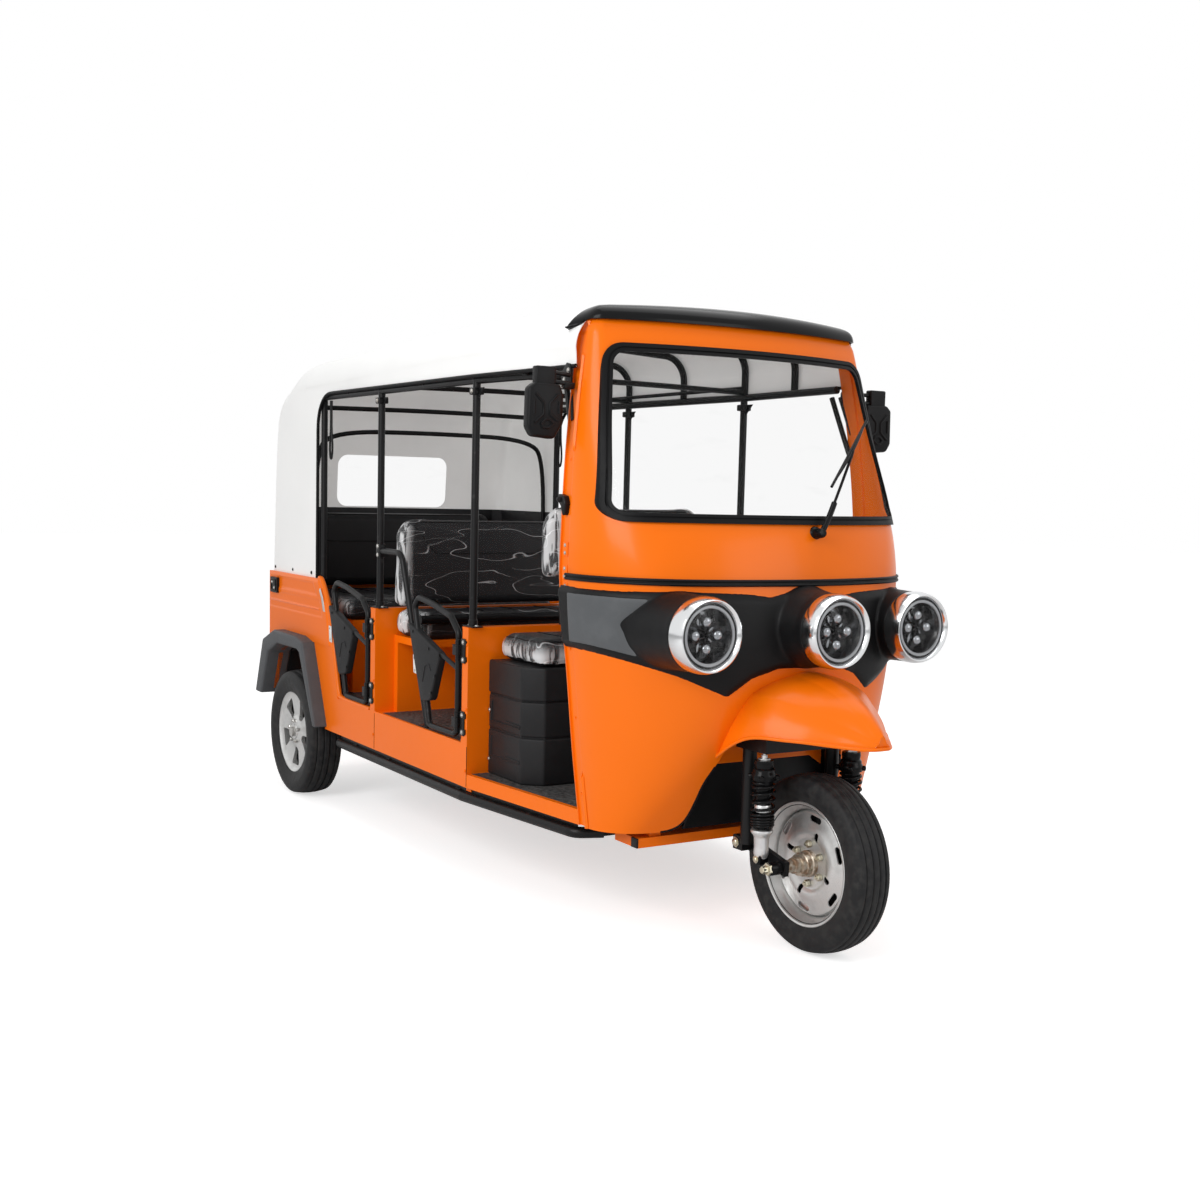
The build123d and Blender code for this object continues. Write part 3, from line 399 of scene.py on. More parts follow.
def seat_vinyl(tone):
    made = Finish("seat_vinyl", tone, 0.38, Specular_IOR_Level=0.2)
    hide = made.cells(420.0, "SMOOTH_F1")
    wear = made.noise(6.0, 4.0)
    made.set("Base Color", made.blend(wear, tone, shade(tone, 1.8)))
    made.set("Roughness", 0.30 + hide * 0.14 + wear * 0.08)
    made.relief(hide, 0.0006, 0.6)
    return made.material


def cling_film(name, end, foot=-1.0):
    """Clear wrapping, gathered towards the ends and the foot of the seat that it covers, with
    painted highlights: white streaks along its creases and white on the pleats of its gathered
    ends.
    """
    made = Finish(name, (0.90, 0.91, 0.92), 0.10, Specular_IOR_Level=0.3)
    crease = made.noise(3.6, 2.0, (1, 0.45, 2.4), 0.3)
    fine = made.noise(8.0, 1.0, (1, 0.5, 2.6), 0.3)
    patch = made.noise(3.1, 2.0, (1, 1, 1.3)).above(0.50, 0.10)
    # Painted highlights: thin streaks of opaque white along the creases, where the lamps would
    # glint on the film.
    line = abs(crease - 0.5).below(0.0030, 0.0040) * patch
    fine_glint = abs(fine - 0.5).below(0.0040, 0.0050) * (1 - patch)
    ends = abs(made.y).above(end, 0.05)
    if foot > 0:
        ends = ends.math("MAXIMUM", made.z.below(foot, 0.05))
    folds_and_glints = made.noise(34.0, 2.0, (1.5, 1.5, 0.22), 0.6).above(0.46, 0.12)
    # The gathered ends are milky from their layers; the white on their pleats is painted
    # highlight.
    made.set("Alpha", 0.008 + line * 0.34 + fine_glint * 0.30 + ends * (0.06 + folds_and_glints * 0.62))
    made.set("Roughness", 0.10 + fine * 0.10)
    made.relief(folds_and_glints * ends, 0.003, 0.7)
    return made.material


FINISHES = {}


def make_finishes(tones):
    FINISHES.update(
        paint=body_paint(tones.body), wheelhouse=shaded_wheelhouse_paint(tones.body),
        plastic=grained_plastic(tones.plastic), frame=powder_coat(tones.frame),
        # End panels' grey: partly the panels' own tone, partly painted reflection of the key lamp
        # grazing the black band.
        grey_plastic=grained_plastic((0.09, 0.095, 0.10), "grey_plastic", 0.42),
        gloss=gloss_plastic(tones.plastic),
        dark_plastic=grained_plastic((0.018, 0.018, 0.019), "dark_plastic", 0.40),
        flare=grained_plastic((0.080, 0.083, 0.088), "flare_plastic", 0.45),
        amber=ribbed_lens("amber_lens", (0.75, 0.16, 0.004)),
        white_plastic=grained_plastic((0.72, 0.72, 0.70), "white_plastic", 0.45),
        alloy=wheel_silver((0.66, 0.66, 0.66), "damper_alloy"), zinc=zinc_plate(),
        chrome=plain("chrome", (0.74, 0.75, 0.76), 1.0, 0.12, 0.08, 90.0, 5.0),
        steel=bare_steel(), hub=hub_steel(), silver=wheel_silver(tones.wheel),
        tyre=tyre_rubber(), rubber=soft_rubber(), mat=floor_mat(), glass=clear_glass(),
        lens=plain("lens_cover", (0.02, 0.022, 0.026), 0.0, 0.02, 0.02, 50.0, Coat_Weight=1.0,
                   Coat_Roughness=0.02, Alpha=0.28),
        red=ribbed_lens("red_lens", (0.45, 0.006, 0.004)),
        bowl=plain("lamp_bowl", (0.006, 0.006, 0.007), 0.0, 0.16, 0.1, 120.0, Coat_Weight=0.6,
                   Coat_Roughness=0.08),
        bead=plain("lamp_bead", (0.50, 0.52, 0.55), 0.85, 0.03, 0.05, 220.0, Coat_Weight=1.0),
        halo=plain("lamp_halo", (0.34, 0.35, 0.37), 0.0, 0.26, 0.1, 150.0, Coat_Weight=0.4),
        cover=plain("lamp_cover", (0.02, 0.02, 0.02), 0.0, 0.012, 0.02, 30.0,
                    Specular_IOR_Level=0.5, Alpha=0.12),
        canvas=canvas(tones.canvas), lining=glowing_lining_cloth(tones.lining),
        vinyl=seat_vinyl(tones.vinyl),
        mirror=plain("mirror_glass", (0.80, 0.83, 0.84), 1.0, 0.01, 0.02, 20.0),
        bench_film=cling_film("bench_film", 0.455),
        box_film=cling_film("box_film", 0.5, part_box("driver_cushion")[0][2] + 0.055),
        back_film=cling_film("back_film", 0.25))


# Finish of each CAD node's own mesh, which shows unless a piece stands for the node.
NODE_FINISH = {
    "paint": ("body_sides", "bulkheads", "bench_frames", "tail_panel", "cab_sills", "nose_cowl",
              "front_mudguard", "chassis_frame", "front_crossmember"),
    "plastic": ("headlamp_band", "roof_visor", "seat_box", "arch_flares", "dashboard",
                "battery_box", "wheelhouse"),
    "frame": ("door_front_left", "door_front_right", "door_rear_left", "door_rear_right",
              "grab_rails", "roof_frame", "step_rails", "rear_bumper", "door_hinges",
              "side_latches", "handlebar", "fork", "fork_links", "leaf_springs", "damper_springs",
              "backrest_stays", "mirrors", "roof_bows", "steering_neck"),
    "steel": ("dampers", "rear_axle", "drive_motor"),
    "silver": ("front_rim", "rear_rim_left", "rear_rim_right"),
    "tyre": ("front_tyre", "rear_tyre_left", "rear_tyre_right"),
    "rubber": ("windscreen_gasket", "rub_strip", "wiper"),
    "mat": ("floor_pans",),
    "glass": ("windscreen", "rear_window"),
    "lens": ("headlamp_lenses",),
    "chrome": ("headlamp_bezels",),
    "red": ("tail_lamps",),
    "canvas": ("canopy",),
    "vinyl": ("driver_cushion", "driver_backrest", "middle_cushion", "middle_backrest",
              "rear_cushion", "rear_backrest"),
}


# ---------------------------------------------------------------- modelling helpers
# Distance at which the points of a fine skin are merged.
FINE = 0.00002


def clear_selection():
    if bpy.context.mode != "OBJECT":
        bpy.ops.object.mode_set(mode="OBJECT")
    bpy.ops.object.select_all(action="DESELECT")


def take(piece):
    """Make a piece the one that is selected and active."""
    clear_selection()
    piece.select_set(True)
    bpy.context.view_layer.objects.active = piece
    return piece


def settle(piece, finish, body="chassis", stands_for=None):
    """Fix a piece's place in its mesh, finish it and let it ride on a body."""
    take(piece)
    bpy.ops.object.transform_apply(location=True, rotation=True, scale=True)
    piece.data.materials.clear()
    piece.data.materials.append(FINISHES[finish])
    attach(piece, body)
    if stands_for:
        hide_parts(stands_for)
    return piece


@contextmanager
def editing(piece, chosen="SELECT"):
    """Edit mode on one piece, with all or none of its mesh selected."""
    take(piece)
    bpy.ops.object.mode_set(mode="EDIT")
    bpy.ops.mesh.select_all(action=chosen)
    yield
    bpy.ops.object.mode_set(mode="OBJECT")


def linked(name, data):
    """A new object in the scene around a mesh or a curve."""
    piece = bpy.data.objects.new(name, data)
    bpy.context.collection.objects.link(piece)
    return piece


def spun(piece, centre, turn, axis="Y"):
    """Turn a piece's mesh about a line through a place, along an axis."""
    with editing(piece):
        bpy.ops.transform.rotate(value=turn, orient_axis=axis, center_override=centre)
    return piece


def apply_modifier(piece, kind, **settings):
    take(piece)
    made = piece.modifiers.new(kind.lower(), kind)
    for label, value in settings.items():
        setattr(made, label, value)
    bpy.ops.object.modifier_apply(modifier=made.name)
    return piece


def smooth(piece, angle=35):
    take(piece)
    bpy.ops.object.shade_smooth_by_angle(angle=radians(angle))
    return piece


def surface(name, columns, rows, place):
    """A grid whose points go where place(u, v) puts them: u from -1 to 1, v from 0 to 1."""
    clear_selection()
    bpy.ops.mesh.primitive_grid_add(x_subdivisions=columns, y_subdivisions=rows, size=2)
    piece = bpy.context.active_object
    piece.name = name
    for vertex in piece.data.vertices:
        vertex.co = place(vertex.co.x, (vertex.co.y + 1) / 2)
    return piece


def recalculate(piece, merge=0.0004):
    """Merge a piece's close points and turn all its faces one way."""
    with editing(piece):
        bpy.ops.mesh.remove_doubles(threshold=merge)
        bpy.ops.mesh.normals_make_consistent(inside=False)
    return piece


def faces(piece, axis):
    """Whether a piece's faces look, on the whole, forwards along an axis."""
    return sum(face.normal[axis] * face.area for face in piece.data.polygons) > 0


def thicken(piece, wall, axis, **settings):
    """Give a skin a wall behind the side that looks along an axis."""
    offset = -1 if faces(piece, axis) else 1
    return apply_modifier(piece, "SOLIDIFY", thickness=wall, offset=offset, **settings)


def turned(name, profile, centre, axis=(1, 0, 0), steps=72):
    """A turned piece: profile of (radius, distance along the axis), spun about the axis."""
    clear_selection()
    along = Vector(axis).normalized()
    across = along.orthogonal().normalized()
    centre = Vector(centre)
    mesh = bpy.data.meshes.new(name)
    points = [centre + across * radius + along * height for radius, height in profile]
    mesh.from_pydata(points, [(i, i + 1) for i in range(len(points) - 1)], [])
    piece = linked(name, mesh)
    with editing(piece):
        bpy.ops.mesh.spin(steps=steps, angle=2 * pi, center=centre, axis=along)
    return recalculate(piece, 0.00005)


def bar(name, points, radius, smooth_run=True, sides=5):
    """A round bar along a run of points."""
    clear_selection()
    curve = bpy.data.curves.new(name, "CURVE")
    curve.dimensions = "3D"
    curve.bevel_depth = radius
    curve.bevel_resolution = sides
    curve.use_fill_caps = True
    line = curve.splines.new("NURBS" if smooth_run else "POLY")
    line.points.add(len(points) - 1)
    for point, place in zip(line.points, points):
        point.co = (*place, 1)
    if smooth_run:
        line.order_u = 3
        line.use_endpoint_u = True
        line.resolution_u = 8
    take(linked(name, curve))
    bpy.ops.object.convert(target="MESH")
    return smooth(bpy.context.active_object, 50)


def brick(name, low, high, edge=0.002, segments=2):
    """A block between two corners with its edges rounded."""
    clear_selection()
    low, high = Vector(low), Vector(high)
    bpy.ops.mesh.primitive_cube_add(size=1, location=(low + high) / 2)
    piece = bpy.context.active_object
    piece.name = name
    piece.scale = high - low
    bpy.ops.object.transform_apply(location=True, rotation=True, scale=True)
    if edge:
        apply_modifier(piece, "BEVEL", width=edge, segments=segments)
    return piece


def prism(name, outline, low, high, axis="Z", edge=0.003, segments=3):
    """A plate: a closed outline run from low to high along an axis, its edges rounded."""
    clear_selection()
    lift = {"X": lambda a, b, c: (c, a, b), "Y": lambda a, b, c: (a, c, b),
            "Z": lambda a, b, c: (a, b, c)}[axis]
    count = len(outline)
    points = [lift(a, b, c) for c in (low, high) for a, b in outline]
    sides = [(i, (i + 1) % count, count + (i + 1) % count, count + i) for i in range(count)]
    mesh = bpy.data.meshes.new(name)
    mesh.from_pydata(points, [], sides + [tuple(range(count)), tuple(range(count, 2 * count))])
    piece = recalculate(linked(name, mesh), 0.00001)
    if edge:
        apply_modifier(piece, "BEVEL", width=edge, segments=segments, limit_method="ANGLE",
                       angle_limit=radians(30))
    return smooth(piece, 40)


def oblong(a, b, far_a, far_b):
    """Outline of an oblong between two corners."""
    return [(a, b), (far_a, b), (far_a, far_b), (a, far_b)]


def both(side, near, far):
    """Two distances on one side of the vehicle, the lower first."""
    return sorted((side * near, side * far))


def bolts(name, places, out, size):
    """Hexagon heads with washers, standing out along one direction."""
    head = ((0.0, 0.75), (0.55, 0.72), (0.9, 0.6), (1.0, 0.5), (1.0, 0.18), (1.4, 0.16),
            (1.4, 0.0))
    return join(name, [turned("bolt", tuple((r * size, h * size) for r, h in head), place, out, 6)
                       for place in places])


def join(name, pieces):
    """Pieces joined into one with a new name."""
    clear_selection()
    for piece in pieces:
        piece.select_set(True)
    bpy.context.view_layer.objects.active = pieces[0]
    if len(pieces) > 1:
        bpy.ops.object.join()
    piece = bpy.context.active_object
    piece.name = name
    return piece


def cut(piece, cutter, operation="DIFFERENCE"):
    """Take a cutter out of a piece, and remove the cutter."""
    take(piece)
    made = piece.modifiers.new("cut", "BOOLEAN")
    made.object = cutter
    made.operation = operation
    made.solver = "EXACT"
    bpy.ops.object.modifier_apply(modifier=made.name)
    bpy.data.objects.remove(cutter)
    return piece


def fair(table, at):
    """Row of a table at one value of its first column, on smooth curves through its rows."""
    rows = sorted(table)
    at = min(max(at, rows[0][0]), rows[-1][0])
    index = max(i for i in range(len(rows) - 1) if rows[i][0] <= at + 1e-9)
    here, there = rows[index], rows[index + 1]
    span = there[0] - here[0]
    share = (at - here[0]) / span

    def slope(i, column):
        low, high = rows[max(i - 1, 0)], rows[min(i + 1, len(rows) - 1)]
        return (high[column] - low[column]) / (high[0] - low[0])

    cubes = share ** 3
    squares = share ** 2
    return [(2 * cubes - 3 * squares + 1) * here[k] + (3 * squares - 2 * cubes) * there[k]
            + (cubes - 2 * squares + share) * span * slope(index, k)
            + (cubes - squares) * span * slope(index + 1, k) for k in range(1, len(here))]


def between(points, at):
    """Height of a broken line at one place."""
    for (x0, z0), (x1, z1) in zip(points, points[1:]):
        if at <= x1:
            share = min(max((at - x0) / (x1 - x0), 0), 1)
            return z0 + (z1 - z0) * share
    return points[-1][1]


# ---------------------------------------------------------------- nose cowl
# Station of the doorway's front edge, from which the nose is measured.
EDGE = 0.8875
# Height, half width, rear edge, start of the corner, corner radius and front.
COWL = (
    (0.306, 0.492, 0.030, 0.072, 0.132, 0.245), (0.520, 0.505, 0.004, 0.056, 0.275, 0.352),
    (0.740, 0.522, -0.008, 0.048, 0.370, 0.436), (1.000, 0.551, -0.010, 0.062, 0.330, 0.425),
    (1.170, 0.553, -0.006, 0.060, 0.262, 0.385), (1.450, 0.530, -0.022, 0.024, 0.124, 0.255),
    (1.726, 0.487, -0.045, 0.006, 0.045, 0.125), (1.757, 0.474, -0.048, -0.002, 0.042, 0.112))
# Shares of the way round to the rear edge where the front and the corner end.
FRONT_SHARE, CORNER_SHARE = 0.5, 0.9


def cowl_point(around, height, proud=0.0):
    """Place on the nose: around from -1, the right rear edge, to 1, the left one."""
    half, rear, corner, radius, front = fair(COWL, height)
    half, radius, front = half + proud, radius + proud, front + proud
    reach = front - corner
    bow = (reach ** 2 + (half - radius) ** 2 - radius ** 2) / (2 * (reach - radius))
    turn = acos((half - radius) / (bow - radius))
    share = abs(around)
    if share < FRONT_SHARE:
        angle = share / FRONT_SHARE * (pi / 2 - turn)
        x, y = front - bow + bow * cos(angle), bow * sin(angle)
    elif share < CORNER_SHARE:
        angle = turn * (1 - (share - FRONT_SHARE) / (CORNER_SHARE - FRONT_SHARE))
        x, y = corner + radius * sin(angle), half - radius * (1 - cos(angle))
    else:
        x = corner + (rear - corner) * (share - CORNER_SHARE) / (1 - CORNER_SHARE)
        y = half
    return Vector((EDGE + x, y if around > 0 else -y, height))


def around_at(y, height):
    """The share around the nose where it is y from the centre plane."""
    low, high = 0.0, CORNER_SHARE
    for _ in range(24):
        middle = (low + high) / 2
        if cowl_point(middle, height).y < abs(y):
            low = middle
        else:
            high = middle
    return low if y > 0 else -low


# The wheel arch in the nose: across and up.
ARCH = ((-0.330, 0.290), (-0.330, 0.309), (-0.300, 0.313), (-0.276, 0.326), (-0.262, 0.350),
        (-0.254, 0.400), (-0.250, 0.460), (-0.230, 0.510), (-0.168, 0.688), (-0.080, 0.735),
        (0.080, 0.735), (0.168, 0.688), (0.230, 0.510), (0.250, 0.460),
        (0.254, 0.400), (0.262, 0.350), (0.276, 0.326), (0.300, 0.313), (0.330, 0.309),
        (0.330, 0.290))
# The jamb behind the nose's edge: its depth, where it starts round the skin, and its steps
# as share of the way in, share of the depth and distance inwards.
JAMB = 0.050
JAMB_SHARE = 0.94
JAMB_STEPS = ((0.0, 1.0, 0.0), (0.12, 0.93, 0.002), (0.22, 0.90, 0.006), (0.34, 0.84, 0.007),
              (0.85, 0.06, 0.007), (0.93, 0.0, 0.006), (1.0, 0.02, 0.001))


def skin_point(around, height):
    """Place on the nose's skin, whose rear edges step in to a narrow jamb."""
    share = abs(around)
    if share <= JAMB_SHARE:
        place = cowl_point(share / JAMB_SHARE, height)
        spare = max(0.0, share / JAMB_SHARE - CORNER_SHARE) / (1 - CORNER_SHARE)
        place.x += JAMB * spare
    else:
        place = cowl_point(1.0, height)
        part = (share - JAMB_SHARE) / (1 - JAMB_SHARE)
        place.x += JAMB * between([row[:2] for row in JAMB_STEPS], part)
        place.y -= between([(row[0], row[2]) for row in JAMB_STEPS], part)
    if around < 0:
        place.y = -place.y
    return place


def screen_block(name, grow):
    """The windscreen opening grown all round, as a block running forward."""
    corners = ((-0.521 - grow, 1.209 - grow), (0.521 + grow, 1.209 - grow),
               (0.452 + grow, 1.672 + grow), (-0.452 - grow, 1.672 + grow))
    clear_selection()
    mesh = bpy.data.meshes.new(name)
    mesh.from_pydata([(EDGE + 0.07, y, z) for y, z in corners], [], [(0, 1, 2, 3)])
    piece = linked(name, mesh)
    with editing(piece):
        bpy.ops.mesh.bevel(offset=(0.052 + grow) * 0.8, segments=12, affect="VERTICES")
        bpy.ops.mesh.extrude_region_move(TRANSFORM_OT_translate={"value": (1.0, 0, 0)})
    return recalculate(piece)


def rounded(points, rounds=3):
    """A run of points with its corners cut off, keeping its two ends."""
    points = [Vector(point) for point in points]
    for _ in range(rounds):
        cuts = [points[0]]
        for here, there in zip(points, points[1:]):
            cuts += [here.lerp(there, 0.25), here.lerp(there, 0.75)]
        points = cuts + [points[-1]]
    return points


def reach_of(points):
    """Length of a run of points."""
    return sum((there - here).length for here, there in zip(points, points[1:]))


def along(points, share):
    """Place at a share of a run's whole length."""
    runs = [(there - here).length for here, there in zip(points, points[1:])]
    left = share * sum(runs)
    for here, there, run in zip(points, points[1:], runs):
        if left <= run:
            return here.lerp(there, max(0, left) / run)
        left -= run
    return points[-1].copy()


def nose_shell(name, low, high, outside, wall, columns=120, rows=110):
    """Part of the nose's skin between two heights, wall thick inwards from outside."""
    piece = surface(name, columns, rows,
                    lambda u, v: cowl_point(u, low + (high - low) * v, outside))
    return thicken(recalculate(piece), wall, 0)


# ---------------------------------------------------------------- operators
# Area lamps: name, place, size and watts. The sky's light, against 1 where it is seen.
STUDIO = (("key", (2.2, -5.2, 3.4), 3.0, 190), ("top", (0.2, 0.6, 5.2), 4.0, 90),
          ("fill", (5.6, 1.8, 2.6), 2.6, 50))
SKY_LIGHT = 0.48
# The photograph's camera, solved from its picture: place, then yaw, pitch and roll.
CAMERA_AT = (4.45975, -2.63251, 1.27574)
CAMERA_TURN = (2.59037, -0.096116, 0.024311)


class RICKSHAW_OT_stage(bpy.types.Operator):
    """Add the floor, the lamps, the sky and the camera"""
    bl_idname = "rickshaw.stage"
    bl_label = "Stage"

    def execute(self, context):
        context.scene.view_settings.view_transform = "Standard"
        self.floor(context)
        self.sky(context.scene)
        self.studio(context)
        self.camera(context)
        return {"FINISHED"}

    def floor(self, context):
        """A white floor that shows its shadows"""
        clear_selection()
        bpy.ops.mesh.primitive_plane_add(size=60, location=(0, 0, 0))
        floor = context.active_object
        floor.name = "floor"
        ground = Finish("floor", (0.86, 0.86, 0.86), 0.9, Specular_IOR_Level=0.1)
        seen = ground.node("ShaderNodeLightPath", output="Is Camera Ray")
        ground.set("Emission Color", ground.blend(seen, (0, 0, 0), (0.58, 0.58, 0.58)))
        ground.set("Emission Strength", 1.0)
        floor.data.materials.append(ground.material)
        floor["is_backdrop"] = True

    def sky(self, scene):
        """A white sky, dimmer where it only gives light"""
        sky = bpy.data.worlds.new("sky")
        scene.world = sky
        sky.use_nodes = True
        tree = sky.node_tree
        path = tree.nodes.new("ShaderNodeLightPath")
        backdrop = tree.nodes["Background"]
        backdrop.inputs["Color"].default_value = (1, 1, 1, 1)
        total = path.outputs["Is Camera Ray"]
        for label in ("Is Glossy Ray", "Is Transmission Ray"):
            either = tree.nodes.new("ShaderNodeMath")
            either.operation = "MAXIMUM"
            tree.links.new(total, either.inputs[0])
            tree.links.new(path.outputs[label], either.inputs[1])
            total = either.outputs[0]
        level = tree.nodes.new("ShaderNodeMapRange")
        level.inputs["To Min"].default_value = SKY_LIGHT
        level.inputs["To Max"].default_value = 1.0
        tree.links.new(total, level.inputs["Value"])
        tree.links.new(level.outputs[0], backdrop.inputs["Strength"])

    def studio(self, context):
        """Area lamps aimed at the vehicle"""
        for name, place, reach, watts in STUDIO:
            bpy.ops.object.light_add(type="AREA", location=place)
            lamp = context.active_object
            lamp.name = name
            lamp.data.size = reach
            lamp.data.energy = watts
            aim = Vector((0.1, 0, 0.7)) - Vector(place)
            lamp.rotation_euler = aim.to_track_quat("-Z", "Y").to_euler()

    def camera(self, context):
        """The photograph's camera"""
        bpy.ops.object.camera_add(location=CAMERA_AT)
        camera = context.active_object
        yaw, pitch, roll = CAMERA_TURN
        ahead = Vector((cos(yaw) * cos(pitch), sin(yaw) * cos(pitch), sin(pitch)))
        level_right = ahead.cross(Vector((0, 0, 1))).normalized()
        level_up = level_right.cross(ahead)
        right = level_right * cos(roll) + level_up * sin(roll)
        up = level_up * cos(roll) - level_right * sin(roll)
        camera.rotation_euler = Matrix((right, up, -ahead)).transposed().to_euler()
        camera.data.lens, camera.data.sensor_width = 43.52, 36
        camera.data.shift_x, camera.data.shift_y = 0.0046, 0.0246
        context.scene.camera = camera


class RICKSHAW_OT_finishes(bpy.types.Operator):
    """Give each CAD node its finish"""
    bl_idname = "rickshaw.finishes"
    bl_label = "Finishes"

    def execute(self, context):
        make_finishes(context.scene.rickshaw_colours)
        for label, names in NODE_FINISH.items():
            for name in names:
                NODES[name].data.materials.clear()
                NODES[name].data.materials.append(FINISHES[label])
        return {"FINISHED"}


class RICKSHAW_OT_nose(bpy.types.Operator):
    """Form the nose cowl, the windscreen and its gasket"""
    bl_idname = "rickshaw.nose"
    bl_label = "Nose"

    def execute(self, context):
        skin = surface("nose_skin", 260, 110, lambda u, v: skin_point(u, 0.306 + 1.451 * v))
        thicken(recalculate(skin, FINE), 0.006, 0)
        cut(skin, screen_block("opening", 0.0))
        cut(skin, prism("arch", ARCH, EDGE + 0.1, EDGE + 1.1, "X", 0))
        settle(smooth(skin, 32), "paint", stands_for="nose_cowl")
        pane = nose_shell("windscreen_pane", 1.19, 1.68, 0.0005, 0.005, 90, 40)
        cut(pane, screen_block("pane_edge", -0.001), "INTERSECT")
        settle(smooth(pane, 32), "glass", stands_for="windscreen")
        seal = nose_shell("screen_seal", 1.16, 1.71, 0.008, 0.012, 160, 80)
        cut(seal, screen_block("seal_outside", 0.018), "INTERSECT")
        cut(seal, screen_block("seal_inside", -0.007))
        groove = nose_shell("seal_groove", 1.16, 1.71, 0.012, 0.007, 160, 80)
        cut(groove, screen_block("groove_outside", 0.0065), "INTERSECT")
        cut(groove, screen_block("groove_inside", 0.0015))
        cut(seal, groove)
        settle(smooth(seal, 40), "rubber", stands_for="windscreen_gasket")
        return {"FINISHED"}


# Lamp centres and the station of each bezel's front face.
LAMPS = ((-0.378, 0.898, EDGE + 0.500), (0.0, 0.905, EDGE + 0.583), (0.378, 0.898, EDGE + 0.500))
# Upper and lower edge of the lamp band: across and up.
BAND_TOP = ((-0.60, 1.004), (-0.50, 1.004), (-0.378, 1.010), (-0.20, 1.004), (-0.121, 0.994),
            (-0.05, 1.013), (0.05, 1.013), (0.121, 0.994), (0.20, 1.004), (0.378, 1.010),
            (0.50, 1.004), (0.60, 1.004))
BAND_FOOT = ((-0.60, 0.828), (-0.54, 0.826), (-0.378, 0.769), (-0.25, 0.712), (-0.183, 0.764),
             (-0.101, 0.790), (0.101, 0.790), (0.183, 0.764), (0.25, 0.712), (0.378, 0.769),
             (0.54, 0.826), (0.60, 0.828))


def band_point(u, v, proud):
    """Place on the lamp band: u around the nose, v from its lower edge to its upper one."""
    height = 0.9
    for _ in range(4):
        y = cowl_point(u, height, proud).y
        foot, top = between(BAND_FOOT, y), between(BAND_TOP, y)
        height = foot + (top - foot) * v
    return cowl_point(u, height, proud)


BEZEL = ((0.086, -0.055), (0.1035, -0.055), (0.1045, -0.050), (0.1045, -0.026), (0.1015, -0.010),
         (0.0975, -0.001), (0.0950, 0.0), (0.0925, -0.002), (0.0855, -0.012), (0.0850, -0.030),
         (0.086, -0.055))
BOWL = ((0.0845, -0.014), (0.0845, -0.05), (0.01, -0.05), (0.01, -0.044), (0.058, -0.042),
        (0.068, -0.030), (0.0715, -0.017), (0.0730, -0.015), (0.0805, -0.012), (0.0845, -0.014))
BEAD = ((0.0, -0.018), (0.006, -0.0185), (0.012, -0.022), (0.0155, -0.028), (0.0165, -0.036),
        (0.019, -0.040), (0.0225, -0.042))
HALO = ((0.0735, -0.0135), (0.0745, -0.0105), (0.0795, -0.0095), (0.0815, -0.0115),
        (0.0735, -0.0135))
COVER = ((0.0, -0.002), (0.03, -0.0035), (0.06, -0.0075), (0.0855, -0.0125), (0.0855, -0.0145),
         (0.06, -0.0095), (0.03, -0.0055), (0.0, -0.004))


def lamp_rings(name, profile, finish, angle, stands_for=None):
    """One piece turned about all three lamps' axes."""
    rings = [turned(name, profile, (front, y, z)) for y, z, front in LAMPS]
    settle(smooth(join(name, rings), angle), finish, stands_for=stands_for)


class RICKSHAW_OT_lamps(bpy.types.Operator):
    """Form the lamp band, its pods, the bezels and the lamp units"""
    bl_idname = "rickshaw.lamps"
    bl_label = "Lamps"

    def execute(self, context):
        band = surface("lamp_band", 260, 44, lambda u, v: band_point(
            max(-0.995, min(0.995, u)), v, 0.011 * min(1, 12 * v, 12 * (1 - v)) - 0.001))
        thicken(recalculate(band), 0.012, 0)
        pods = [band]
        for y, z, front in LAMPS:
            wide, waist, neck = (0.140, 0.128, 0.112) if y == 0 else (0.120, 0.112, 0.106)
            pods.append(turned("pod", (
                (0.070, -0.30), (wide, -0.30), (waist, -0.20), (neck, -0.13), (0.104, -0.080),
                (0.104, -0.052), (0.070, -0.052), (0.070, -0.30)), (front, y, z), steps=96))
        shell = join("lamp_band", pods)
        apply_modifier(shell, "REMESH", mode="VOXEL", voxel_size=0.0042)
        apply_modifier(shell, "SMOOTH", factor=0.5, iterations=8)
        cut(shell, nose_shell("inside", 0.60, 1.10, -0.0005, 0.30, 90, 40))
        settle(smooth(shell, 60), "plastic", stands_for="headlamp_band")
        lamp_rings("lamp_bezels", BEZEL, "chrome", 40, "headlamp_bezels")
        lamp_rings("lamp_bowls", BOWL, "bowl", 40, "headlamp_lenses")
        beads, fins = [], []
        for y, z, front in LAMPS:
            for step in range(4):
                angle = pi / 2 * step
                off = Vector((0, sin(angle), cos(angle))) * 0.037
                beads.append(turned("bead", BEAD, Vector((front, y, z)) + off, steps=32))
        settle(smooth(join("lamp_beads", beads), 60), "bead")
        lamp_rings("lamp_halos", HALO, "halo", 60)
        for y, z, front in LAMPS:
            for step in range(8):
                fin = brick("fin", (front - 0.044, y - 0.0016, z + 0.008),
                            (front - 0.026, y + 0.0016, z + 0.062), 0.0006)
                fins.append(spun(fin, (front, y, z), pi / 4 * step + pi / 8, "X"))
        settle(join("lamp_fins", fins), "bowl")
        lamp_rings("lamp_covers", COVER, "cover", 60)
        return {"FINISHED"}


# ---------------------------------------------------------------- mudguard and visor
# Station of the front axle and the outer radii of the tyres.
AXLE_FRONT = 1.3965
FRONT_RADIUS, REAR_RADIUS = 0.251, 0.255
